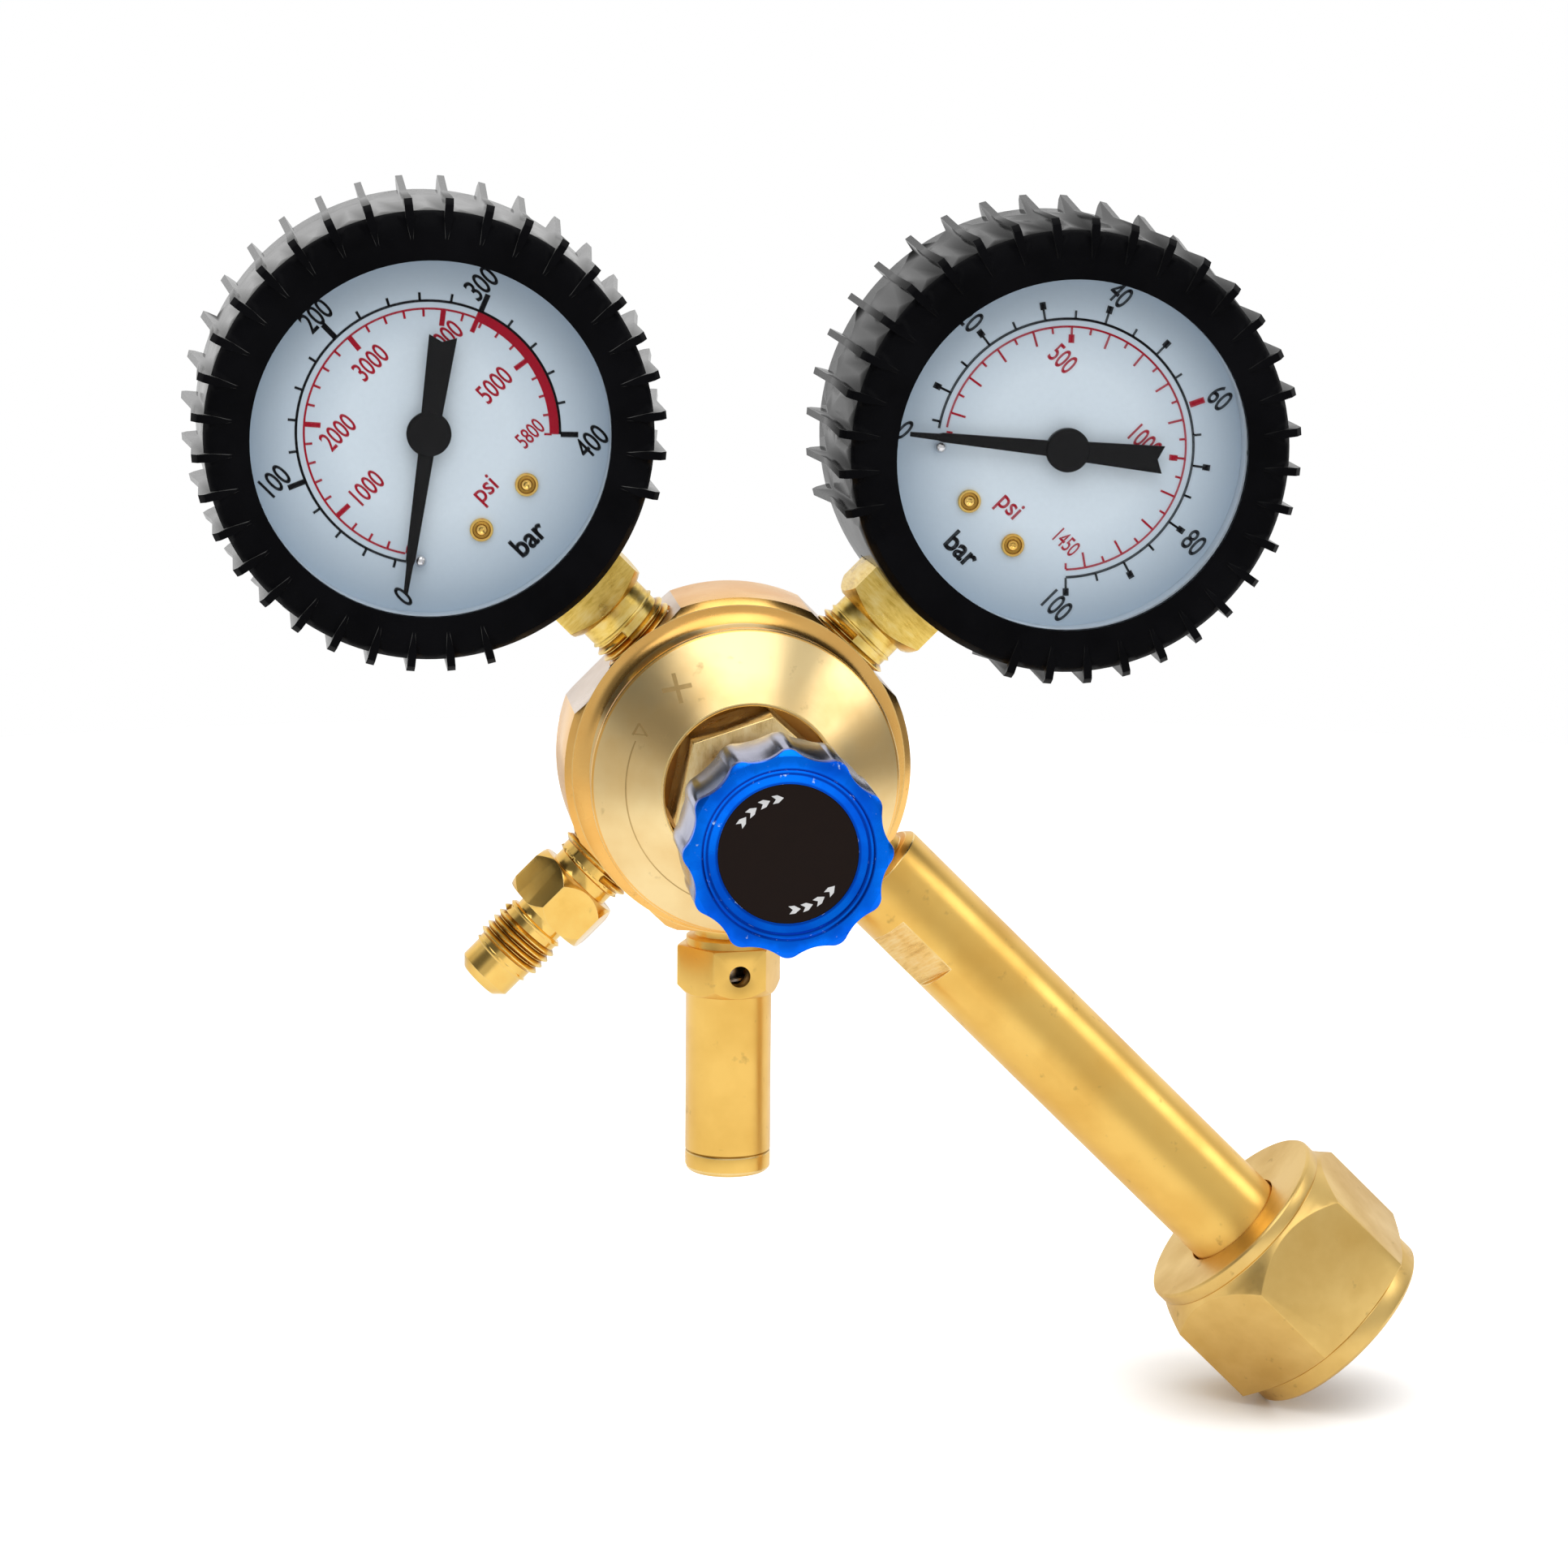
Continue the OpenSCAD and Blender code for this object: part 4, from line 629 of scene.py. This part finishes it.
def threadRidge(t, form):
    # one V ridge wound round z, which runs out in a chamfer at both ends
    bm = bmesh.new()
    root, half, sunk = t["radius"] - t["depth"], t["pitch"] / 2, form["sunk"]
    base, crest = half * form["root"], half * form["crest"]
    section = [
        (root - sunk, -half), (root, -base), (t["radius"], -crest),
        (t["radius"], crest), (root, base), (root - sunk, half),
    ]
    steps = int((t["end"] - t["start"] - t["pitch"]) / t["pitch"] * form["around"])
    section = [(r, 0, t["start"] + half + z) for r, z in section]
    sweep(bm, section, 2 * pi * steps / form["around"], steps, t["pitch"] / form["around"])
    bmesh.ops.holes_fill(bm, edges=bm.edges, sides=6)
    for vert in bm.verts:
        reach = reachOf(vert.co)
        room = min(vert.co.z - t["start"], t["end"] - vert.co.z)
        limit = max(root - sunk, root - form["lead"] + room * form["chamfer"])
        if reach > limit:
            scaleReach(vert.co, limit / reach)
    return bm


def pullRadius(bm, place, span, fromRadius, toRadius):
    # moves the points of a cylinder to another radius
    for vert, local in pointsFrom(bm, place):
        reach = reachOf(local)
        if span[0] - 0.01 < local.z < span[1] + 0.01 and abs(reach - fromRadius) < 0.05:
            scaleReach(local, toRadius / reach)
            vert.co = place @ local


# inner edge of the white ring in each gauge: its ends before the stem axis, its radius and how wide it shows
spacerRing = {"span": (10.9, 14.2), "radius": 28.6, "shown": 27.55}

# ribs of the boots, in millimetres: how thick the solids have them and what share each part keeps
ribs = {
    "places": 36, "thick": 1.4, "wall": 34.0, "front": 15.2,
    "blade": 0.78, "finger": 0.9, "tip": 0.3, "tipReach": 31.4,
    "window": 27.4, "sink": 0.9,  # the lip of the window and how far it has crept over the dial
    "contents": 67, "delivery": 157,  # on which side it has crept
}


def thinRibs(bm, place, r, gauge):
    # narrows the boot's ribs to blades, which run out to a point on its front face
    for vert, local in pointsFrom(bm, place):
        reach = reachOf(local)
        angle = atan2(local.y, local.x)
        rest = round(angle / (2 * pi / r["places"])) * 2 * pi / r["places"]
        side = reach * sin(angle - rest)
        if abs(reach - r["window"]) < 0.3 and local.z > r["front"] - 1:
            crept = (reach - r["sink"] * max(0.0, cos(angle - radians(r[gauge])))) / reach
            vert.co = place @ Vector((local.x * crept, local.y * crept, local.z))
        elif abs(abs(side) - r["thick"] / 2) < 0.02:
            keep = r["tip"] if reach < r["tipReach"] else r["blade"] if local.z < r["front"] else r["finger"]
            along = reach * cos(angle - rest)
            side *= keep
            local.x = along * cos(rest) - side * sin(rest)
            local.y = along * sin(rest) + side * cos(rest)
            vert.co = place @ local


def markSides(bm, place, r):
    # the boot's side wall and the backs of its ribs take the third material, rubber painted lighter as a
    # painted reflection of the white backdrop
    for face, middle, _ in facesFrom(bm, place):
        if middle.z < r["front"] - 0.4 and middle.xy.length > r["wall"] - 1:
            face.material_index = 2


# rest angle of each pointer, and half the width of its needle at the tip and the shoulder
needles = {
    "contents": 216.5, "delivery": 218.9,
    "tip": 0.34, "shoulder": 0.52, "from": 20.0, "shoulderEnd": 22.0,
}


def widenNeedle(bm, place, angle, n):
    # gives the needle's fine end the blunt width that it shows
    turned = place @ Matrix.Rotation(radians(angle), 4, "Z")
    for vert, local in pointsFrom(bm, turned):
        if local.x > n["from"]:
            half = n["tip"] if local.x > n["shoulderEnd"] else n["shoulder"]
            local.y = half if local.y > 0 else -half
            vert.co = turned @ local


# wrench flats of the stem: distance along the stem, and how deep they lie
stemFlats = {"span": (35.9, 47.1), "inside": 7.6}


def markFlats(bm, place, s):
    # the flats take the third material
    for face, middle, normal in facesFrom(bm, place):
        if s["span"][0] < middle.z < s["span"][1] and middle.xy.length < s["inside"] and abs(normal.z) < 0.3:
            face.material_index = 2


# smallest milled flat of the body in square metres, and the bonnet's orange rim from its radius out, a
# painted reflection of the orange body beside it
bodyMarks = {"smallest": 0.00004, "rim": 23.3}


def markBody(bm, name, m):
    # the body's milled sides and its back, and the rim of the bonnet's disc, take the third material; on the
    # bonnet that is the body's brass, a painted reflection of the body beside it
    for face, middle, normal in facesFrom(bm, bodyAxis):
        marked = middle.xy.length > m["rim"]
        if name == "body":
            marked = normal.z < -0.95 or abs(normal.z) < 0.05 and face.calc_area() > m["smallest"]
        if marked:
            face.material_index = 2


# dark seam where the relief valve's cap meets its barrel: height above the cap's end, half its width and
# the radius that it starts from, in millimetres
capSeam = {"height": 3.5, "half": 0.35, "inside": 5.0}


def markSeam(bm, s):
    place = axisOf("relief")
    seam = (place.inverted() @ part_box("relief_cap")[0]).z - s["height"]
    for face, middle, _ in facesFrom(bm, place):
        if abs(middle.z - seam) < s["half"] and middle.xy.length > s["inside"]:
            face.material_index = 2


# round back of the knob: height of its back above the body's front face, and of the ring where its
# scallops start
knobBack = {"back": 48, "ring": 4.5, "bore": 10.5, "radius": 14.65, "slope": 0.5}


def roundBack(bm, k):
    # the scallops of the knob run out towards its round back
    cut = bodyAxis @ Vector((0, 0, k["back"] + k["ring"]))
    normal = (bodyAxis.to_3x3() @ Vector((0, 0, 1))).normalized()
    geom = bm.verts[:] + bm.edges[:] + bm.faces[:]
    bmesh.ops.bisect_plane(bm, geom=geom, plane_co=cut, plane_no=normal, dist=1e-7)
    for vert, local in pointsFrom(bm, bodyAxis):
        reach = local.xy.length
        height = local.z - k["back"]
        wanted = k["radius"] - max(0.0, k["ring"] - height) * k["slope"]
        if k["bore"] < reach < wanted and height < k["ring"] + 0.2:
            vert.co = bodyAxis @ Vector((local.x * wanted / reach, local.y * wanted / reach, local.z))


def dressSolid(name):
    # a solid's copy with broken edges, cut threads and marked faces; the name of one that sits on a port
    # or in a gauge starts with that
    bm, looks, port = nodeCopy(name), looksOf(name), name.split("_")[0]
    cut = threads.get(name, ())
    for t in cut:
        root = t["radius"] - t["depth"] - threadForm["under"]
        pullRadius(bm, axisOf(port), (t["start"], t["end"]), t["radius"], root)
    if name == "inlet_stem":
        markFlats(bm, axisOf(port), stemFlats)
    if name in ("body", "bonnet"):
        markBody(bm, name, bodyMarks)
    if name == "knob":
        roundBack(bm, knobBack)
    if name.endswith("_boot"):
        thinRibs(bm, dialPlace(port, 0), ribs, port)
        markSides(bm, dialPlace(port, 0), ribs)
    if name.endswith("_pointer"):
        widenNeedle(bm, dialPlace(port, 0), needles[port], needles)
    if name.endswith("_spacer_ring"):
        pullRadius(bm, dialPlace(port, 0), spacerRing["span"], spacerRing["radius"], spacerRing["shown"])
    breakEdges(bm, polished[name])
    if name in ("relief_body", "relief_cap"):
        markSeam(bm, capSeam)
    for i, t in enumerate(cut):
        ridge = threadRidge(t, threadForm)
        for face in ridge.faces:
            face.material_index = len(looks)
        joinInto(bm, ridge, axisOf(port))
        # each thread's ridge takes its own material of painted shade and highlight
        looks.append("%s_thread%d" % (name, i))
        threadShadeLook(looks[-1], axisOf(port), t)
    bmesh.ops.triangulate(bm, faces=[f for f in bm.faces if len(f.verts) > 4])
    standIn(name, "_soft", bm, looks)


for name, node in nodes.items():
    if name in polished:
        dressSolid(name)
    elif not name.endswith(("dial_screws", "stop_pin", "_spring")):
        node.data.materials.clear()
        node.data.materials.append(materials[looksOf(name)[0]])
        node.data.polygons.foreach_set("material_index", [0] * len(node.data.polygons))
print("solids dressed")

# springs, each shown as a plain copy of its solid: the joint and travel of the piece that pushes on it, and
# the spring's end that stays, in metres
springs = {
    "range_spring": {"joint": "screw_feed", "axis": (0, 1, 0), "held": (0, -0.0099, 0), "travel": 0.005},
    "poppet_spring": {"joint": "valve_lift", "axis": (0, 1, 0), "held": (0, 0.0072, 0), "travel": 0.0008},
    "relief_spring": {"joint": "relief_lift", "axis": (0, 0, 1), "held": (0, 0, 0.024493), "travel": 0.002},
}


def makeSpring(name):
    piece = standIn(name, "_coiled", nodeCopy(name), looksOf(name))
    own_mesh(piece)


for name, spring in springs.items():
    makeSpring(name)

# screws that hold the dials, and the domed pins that the needles rest against: radius and height above
# the dial
fasteners = {
    "screwPlaces": ((-4.86, -16.2), (4.86, -16.2)),
    "screw": (
        (0, -2.4), (0.8, -2.4), (0.8, 0), (1.8, 0), (1.8, 0.4), (1.66, 0.58), (1.4, 0.58),
        (1.26, 0.26), (0.9, 0.2), (0.74, 0.46), (0.46, 0.54), (0.24, 0.4), (0, 0.38),
    ),
    "groove": (0.78, 1.36),
    "pin": (
        (0, -0.6), (0.5, -0.6), (0.5, 0.5), (0.95, 0.6), (0.95, 0.85), (0.8, 1.25), (0.45, 1.5), (0, 1.58),
    ),
    "pinLead": 4.6, "pinReach": 19.6,
}


def spunForm(profile, centre=(0, 0)):
    # closed form turned from a profile of radius and height
    bm = bmesh.new()
    sweep(bm, [(r, 0, z) for r, z in profile], 2 * pi, 40, whole=True)
    bmesh.ops.remove_doubles(bm, verts=bm.verts, dist=1e-4)
    bmesh.ops.translate(bm, vec=(*centre, 0), verts=bm.verts)
    return bm


def makeFasteners(gauge, f):
    place = dialPlace(gauge, layout["dialDepth"])
    screws = bmesh.new()
    for centre in f["screwPlaces"]:
        screw = spunForm(f["screw"])
        for face in screw.faces:
            middle = face.calc_center_median()
            if f["groove"][0] < middle.xy.length < f["groove"][1] and middle.z > 0:
                face.material_index = 1
        joinInto(screws, screw, Matrix.Translation(Vector((*centre, 0))))
    name = gauge + "_dial_screws"
    standIn(name, "_turned", screws, looksOf(name), place, 25)
    a = radians(needles[gauge] + f["pinLead"])
    pin = spunForm(f["pin"], (f["pinReach"] * cos(a), f["pinReach"] * sin(a)))
    name = gauge + "_stop_pin"
    standIn(name, "_domed", pin, looksOf(name), place)


# printed scales, in the gauge's own frame with its stem down: bar in black and psi in red from the same
# zero; a tick is inner and outer radius, width and how far it lies over the print below it
scales = {
    "contents": {
        "zero": 223.9,
        "bar": {
            "full": 400, "step": 20, "long": 100, "arcStart": 215.0,
            "shortTicks": [(20.1, 21.3, 0.4, 0)], "longTicks": [(20.1, 22.8, 0.85, 0)],
            "digit": [
                ("0", -20.5, -14.94), ("100", -21.46, 11.32), ("200", 0.66, 24.52), ("300", 21.73, 10.23),
                ("400", 16.47, -18.65),
            ],
            "unit": [("bar", -0.74, -22.22)],
        },
        "psi": {
            "full": 5800, "step": 200, "long": 1000, "arcStart": 214.0,
            "shortTicks": [(17.6, 18.75, 0.36, 0.003)], "longTicks": [(16.3, 18.75, 0.8, 0.003)],
            "digit": [
                ("1000", -12.45, 0.72), ("2000", -9.57, 9.77), ("3000", 1.43, 13.69), ("4000", 11.84, 8.28),
                ("5000", 12.19, -1.99),
            ],
            "last": [("5800", 10.77, -11.04)],
            "unit": [("psi", -0.11, -12.59)],
        },
        "redTicks": [("bar", 300, (16.6, 19.8, 0.75, 0.006))],
        "redBands": [(18.4, 19.82, 300, 400, 0.002)],
    },
    "delivery": {
        "zero": 226.1,
        "bar": {
            "full": 100, "step": 5, "long": 10, "arcStart": 215.6,
            "shortTicks": [(20.1, 21.3, 0.36, 0)],
            "longTicks": [(20.1, 22.0, 0.36, 0), (21.7, 22.9, 0.95, 0.003)],
            "digit": [
                ("0", -19.87, -15.61), ("20", -24.8, 3.5), ("40", -11.05, 22.47), ("60", 11.51, 22.45),
                ("80", 24.87, 4.01), ("100", 16.74, -17.88),
            ],
            "unit": [("bar", -0.18, -22.17)],
            "unmarked": 60,
        },
        "psi": {
            "full": 1450, "step": 50, "long": 100, "arcStart": 214.6,
            "shortTicks": [(17.8, 18.75, 0.34, 0.003)], "longTicks": [(16.4, 18.75, 0.34, 0.003)],
            "digit": [("500", -10.26, 9.35), ("1000", 8.15, 9.5)],
            "last": [("1450", 10.64, -9.99)],
            "unit": [("psi", 0.26, -12.6)],
        },
        "redTicks": [
            ("bar", 60, (20.4, 22.8, 0.95, 0)),
            ("psi", 500, (16.3, 17.6, 0.9, 0.006)), ("psi", 1000, (16.3, 17.6, 0.9, 0.006)),
        ],
        "redBands": [],
    },
}
# words have the height of a digit, their width to that of the font, and how much bolder they are
printLook = {
    "thick": 0.03, "turn": 270.0,
    "bar": {"arc": (19.8, 20.2), "digit": (3.5, 0.66, 0.014), "unit": (3.3, 0.9, 0.03)},
    "psi": {
        "arc": (18.64, 18.96), "digit": (3.15, 0.64, 0.012), "last": (2.55, 0.64, 0.01),
        "unit": (3.036, 0.85, 0.012),
    },
}


def addPlate(bm, corners, low, high):
    face = bm.faces.new([bm.verts.new((x, y, low)) for x, y in corners])
    thicken(bm, [face], high - low)


def addArc(bm, inner, outer, start, end, low, high, steps=160):
    a = radians(start)
    corners = ((inner, low), (outer, low), (outer, high), (inner, high))
    section = [(r * cos(a), r * sin(a), z) for r, z in corners]
    bmesh.ops.holes_fill(bm, edges=sweep(bm, section, radians(end - start), steps), sides=4)


def addTick(bm, angle, tick, high):
    inner, outer, width, over = tick
    a = radians(angle)
    along, across = Vector((cos(a), sin(a))), Vector((-sin(a), cos(a))) * width / 2
    corners = [along * inner - across, along * outer - across, along * outer + across, along * inner + across]
    addPlate(bm, corners, 0, high + over)


def wordMesh(words, weight):
    # the outline of a word, filled, in the font's own size, and pushed out by its weight
    curve = bpy.data.curves.new("words", "FONT")
    curve.body = words
    curve.resolution_u = 5
    holder = bpy.data.objects.new("words", curve)
    bpy.context.scene.collection.objects.link(holder)
    bpy.context.view_layer.update()
    flat = bpy.data.meshes.new_from_object(holder.evaluated_get(bpy.context.evaluated_depsgraph_get()))
    bpy.data.objects.remove(holder)
    bpy.data.curves.remove(curve)
    bm = bmesh.new()
    bm.from_mesh(flat)
    bpy.data.meshes.remove(flat)
    bmesh.ops.remove_doubles(bm, verts=bm.verts, dist=1e-5)
    push = {}
    for edge in bm.edges:
        if len(edge.link_faces) == 1:
            a, b = edge.verts
            way = Vector((b.co.y - a.co.y, a.co.x - b.co.x, 0)).normalized()
            if way.dot(a.co - edge.link_faces[0].calc_center_median()) < 0:
                way.negate()
            for vert in (a, b):
                push.setdefault(vert, []).append(way)
    for vert, ways in push.items():
        total = sum(ways, Vector())
        vert.co += total.normalized() * weight * min(1.6, 2 / max(total.length, 0.5))
    return bm


def addWords(bm, words, x, y, style, thick):
    # a word as closed plates, with the middle of its box on a point
    height, narrow, weight = style
    flat = wordMesh(words, weight)
    size = height / 0.71  # a digit's share of the font's size
    xs, ys = [v.co.x for v in flat.verts], [v.co.y for v in flat.verts]
    middle = Vector(((min(xs) + max(xs)) / 2, (min(ys) + max(ys)) / 2, 0))
    thicken(flat, list(flat.faces), 1)
    place = Matrix.Translation(Vector((x, y, 0))) @ Matrix.Diagonal(Vector((size * narrow, size, thick, 1)))
    joinInto(bm, flat, place @ Matrix.Translation(-middle))


def printScale(gauge, s, look):
    thick = look["thick"]
    inks = {"bar": bmesh.new(), "psi": bmesh.new()}

    def angleOf(unit, value):
        return s["zero"] - look["turn"] * value / s[unit]["full"]

    for unit, bm in inks.items():
        scale = s[unit]
        addArc(bm, *look[unit]["arc"], scale["arcStart"], angleOf(unit, scale["full"]), 0, thick)
        for value in range(scale["step"], scale["full"] + 1, scale["step"]):
            ticks = scale["shortTicks"] if value % scale["long"] else scale["longTicks"]
            for tick in ticks if value != scale.get("unmarked") else ():
                addTick(bm, angleOf(unit, value), tick, thick)
        for kind in ("digit", "last", "unit"):
            for words, x, y in scale.get(kind, ()):
                addWords(bm, words, x, y, look[unit][kind], thick)
    for unit, value, tick in s["redTicks"]:
        addTick(inks["psi"], angleOf(unit, value), tick, thick)
    for inner, outer, start, end, over in s["redBands"]:
        addArc(inks["psi"], inner, outer, angleOf("bar", start), angleOf("bar", end), 0, thick + over, 60)
    place = dialPlace(gauge, layout["dialDepth"])
    black, red = gauge + "_print_black", gauge + "_print_red"
    addPiece(black, meshFrom(inks["bar"], black, place), ["printBlack"], "regulator")
    addPiece(red, meshFrom(inks["psi"], red, place), ["printRed"], "regulator")


for gauge in scales:
    printScale(gauge, scales[gauge], printLook)
    makeFasteners(gauge, fasteners)
print("scales printed")

# arrows on the label, pointing both ways round
labelMarks = {
    "height": 65.65,  # of the label's face above the body's front face
    "thick": 0.03,
    "reach": 8.15,
    "upper": (144, 130, 115, 101),
    "lower": (-83, -70, -56, -41),
    "length": 1.7,
    "width": 1.15,
    "notch": 0.35,  # share of half the length, in the arrow's tail
}


def makeLabelMarks(m):
    bm = bmesh.new()
    a, b = m["length"] / 2, m["width"] / 2
    arrow = [(a, 0), (0, b), (-a, b), (-a * m["notch"], 0), (-a, -b), (0, -b)]
    for angles, way in ((m["upper"], -90), (m["lower"], 90)):
        for angle in angles:
            at = Vector((m["reach"] * cos(radians(angle)), m["reach"] * sin(radians(angle))))
            c, s = cos(radians(angle + way)), sin(radians(angle + way))
            corners = [(at.x + x * c - y * s, at.y + x * s + y * c) for x, y in arrow]
            addPlate(bm, corners, m["height"], m["height"] + m["thick"])
    addPiece("label_arrows", meshFrom(bm, "label_arrows", bodyAxis), ["markWhite"], "knob")


makeLabelMarks(labelMarks)

# turning line, arrowhead and plus sign cut into the bonnet's cone
engraving = {
    "arc": (18.71, 18.89, 157.0, 247.0),  # radii and angles
    "lines": [
        # start, end and width
        ((-13.2, 14.85), (-8.85, 15.95), 0.62),
        ((-11.45, 17.4), (-10.5, 13.35), 0.62),
        ((-16.72, 9.95), (-17.7, 8.2), 0.3),
        ((-16.72, 9.95), (-15.6, 8.2), 0.3),
        ((-17.5, 8.35), (-15.75, 8.35), 0.16),
    ],
    "rim": (13.7, 18.0), "disc": (23.4, 10.0),  # radius and height of the cone's two edges
    "sunk": 0.05, "proud": 0.012,
}


def makeEngraving(e):
    bm = bmesh.new()
    addArc(bm, *e["arc"], -e["sunk"], e["proud"], 90)
    for start, end, width in e["lines"]:
        a, b = Vector(start), Vector(end)
        bar = bmesh.new()
        bmesh.ops.create_grid(bar, x_segments=8, y_segments=2, size=0.5)
        thicken(bar, list(bar.faces), 1)
        middle = Matrix.Translation(((a + b) / 2).to_3d() - Vector((0, 0, e["sunk"])))
        turn = Matrix.Rotation(atan2(b.y - a.y, b.x - a.x), 4, "Z")
        size = Matrix.Diagonal(Vector(((b - a).length, width, e["sunk"] + e["proud"], 1)))
        joinInto(bm, bar, middle @ turn @ size)
    (rim, top), (disc, foot) = e["rim"], e["disc"]
    for vert in bm.verts:
        vert.co.z += top + (reachOf(vert.co) - rim) / (disc - rim) * (foot - top)
    mesh = meshFrom(bm, "bonnet_marks", bodyAxis)
    addPiece("bonnet_marks", mesh, ["engraved"], "regulator")


makeEngraving(engraving)

# a speck of dark sealant squeezed out of the contents gauge's thread
speck = {"place": (-5.9, -2.6, 24.5), "size": (0.9, 0.55, 0.3), "lumps": 0.22}


def makeSpeck(s):
    bm = bmesh.new()
    bmesh.ops.create_icosphere(bm, subdivisions=3, radius=1)
    for vert in bm.verts:
        vert.co *= 1 + s["lumps"] * sin(5 * vert.co.x + 3 * vert.co.y) * cos(4 * vert.co.z + 2 * vert.co.x)
    bmesh.ops.transform(bm, matrix=Matrix.Diagonal(Vector((*s["size"], 1))), verts=bm.verts)
    bmesh.ops.translate(bm, vec=s["place"], verts=bm.verts)
    addPiece("sealant_speck", meshFrom(bm, "sealant_speck", axisOf("contents")), ["sealant"], "regulator")


makeSpeck(speck)
print("marks made")

# lights, floor and surroundings
studio = {
    "floorReach": 0.6,
    "floorCentre": (-0.06, 0.05),
    "floorGap": 0.0001,  # between the floor and the lowest point of the nut
    "floorColour": (0.9, 0.9, 0.9),
    "floorGrain": 0.985,  # its darker shade
    "floorLift": 0.75,  # light that only the camera sees, so that the bare floor is white
    "mirrorLift": 0.3,  # the same for what polished metal sees of it
    "contact": 0.03,  # distance at which the object starts to shade the floor
    "mirrored": (0.28, 0.5),  # distances between which the metal loses the floor's light
    "worldLight": 0.62,
    "roomLevel": 0.62,  # what polished metal sees of the room
    "panels": [
        # direction, inner and outer angle, level: the white backdrop and the dark parts of the room
        ((0.0, 1.0, 0.05), 50, 75, 1.0),
        ((-0.65, -0.48, 0.6), 16, 36, 0.15),
        ((0.95, -0.05, -0.25), 22, 40, 0.26),
    ],
    "lamps": [
        # place, size and power
        ((-0.15, -0.42, 0.85), 0.8, 2.7),
        ((0.66, -0.21, 0.56), 0.4, 0.9),
    ],
    "aim": (-0.08, 0.0, 0.09),  # of the lamps
}


def makeWorld(s):
    # the camera, glass and metal see a white backdrop; metal also sees the darker sides of the room
    world = bpy.data.worlds.new("studioWorld")
    bpy.context.scene.world = world
    world.use_nodes = True
    tree = world.node_tree
    direction = addNode(tree, "ShaderNodeTexCoord").outputs["Generated"]
    level = s["roomLevel"]
    for way, inner, outer, panel in s["panels"]:
        sockets = {
            "Value": vectorMaths(tree, "DOT_PRODUCT", direction, Vector(way).normalized()),
            "From Min": cos(radians(outer)), "From Max": cos(radians(inner)),
        }
        share = addNode(tree, "ShaderNodeMapRange", sockets, interpolation_type="SMOOTHSTEP")
        sockets = {0: share.outputs["Result"], 2: level, 3: panel}
        level = addNode(tree, "ShaderNodeMix", sockets, data_type="FLOAT").outputs[0]
    path = addNode(tree, "ShaderNodeLightPath").outputs
    clear = maths(tree, "MAXIMUM", path["Is Camera Ray"], path["Is Transmission Ray"])
    seen = maths(tree, "MAXIMUM", clear, maths(tree, "MULTIPLY", path["Is Glossy Ray"], level))
    other = maths(tree, "MAXIMUM", clear, path["Is Glossy Ray"])
    plain = maths(tree, "MULTIPLY", maths(tree, "SUBTRACT", 1.0, other), s["worldLight"])
    strength = maths(tree, "ADD", seen, plain)
    feed(tree, tree.nodes["Background"], {"Strength": strength, "Color": (1, 1, 1, 1)})


def makeFloor(s):
    # a pale disc that keeps the object's shadow and goes over into the white around it
    tree, shader = newMaterial("floorWhite")
    vector = objectCoords(tree)
    dark = tuple(c * s["floorGrain"] for c in s["floorColour"])
    path = addNode(tree, "ShaderNodeLightPath").outputs
    shade = addNode(tree, "ShaderNodeAmbientOcclusion", {"Distance": s["contact"]}, samples=12)
    near = scaleRange(tree, vectorMaths(tree, "LENGTH", vector), 1.0, 0.0, *s["mirrored"])
    glossy = maths(tree, "MULTIPLY", maths(tree, "MULTIPLY", path["Is Glossy Ray"], near), s["mirrorLift"])
    direct = maths(tree, "MAXIMUM", path["Is Camera Ray"], path["Is Transmission Ray"])
    direct = maths(tree, "MULTIPLY", direct, s["floorLift"])
    openSky = maths(tree, "POWER", shade.outputs["AO"], 2.0)
    grain = noise(tree, vector, 300.0, 3.0, 0.5)
    feed(tree, shader, {
        "Base Color": ramp(tree, grain, [(0.35, dark), (0.65, s["floorColour"])]),
        "Roughness": 0.9, "Specular IOR Level": 0.1, "Emission Color": (1, 1, 1, 1),
        "Emission Strength": maths(tree, "MULTIPLY", maths(tree, "MAXIMUM", glossy, direct), openSky),
    })
    bm = bmesh.new()
    bmesh.ops.create_circle(bm, cap_ends=True, segments=128, radius=s["floorReach"])
    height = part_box("inlet_nut")[0][2] - s["floorGap"]
    bmesh.ops.translate(bm, vec=(*s["floorCentre"], height), verts=bm.verts)
    floor = bpy.data.objects.new("floor", meshFrom(bm, "floor"))
    floor.data.materials.append(materials["floorWhite"])
    bpy.context.scene.collection.objects.link(floor)


def makeLamps(s):
    for i, (place, size, power) in enumerate(s["lamps"]):
        data = bpy.data.lights.new("lamp%d" % i, "AREA")
        data.size = size
        data.energy = power
        lamp = bpy.data.objects.new("lamp%d" % i, data)
        bpy.context.scene.collection.objects.link(lamp)
        turn = (Vector(s["aim"]) - Vector(place)).to_track_quat("-Z", "Y")
        lamp.matrix_world = Matrix.Translation(Vector(place)) @ turn.to_matrix().to_4x4()


makeWorld(studio)
makeFloor(studio)
makeLamps(studio)
bpy.context.scene.view_settings.view_transform = "Standard"
print("studio set")
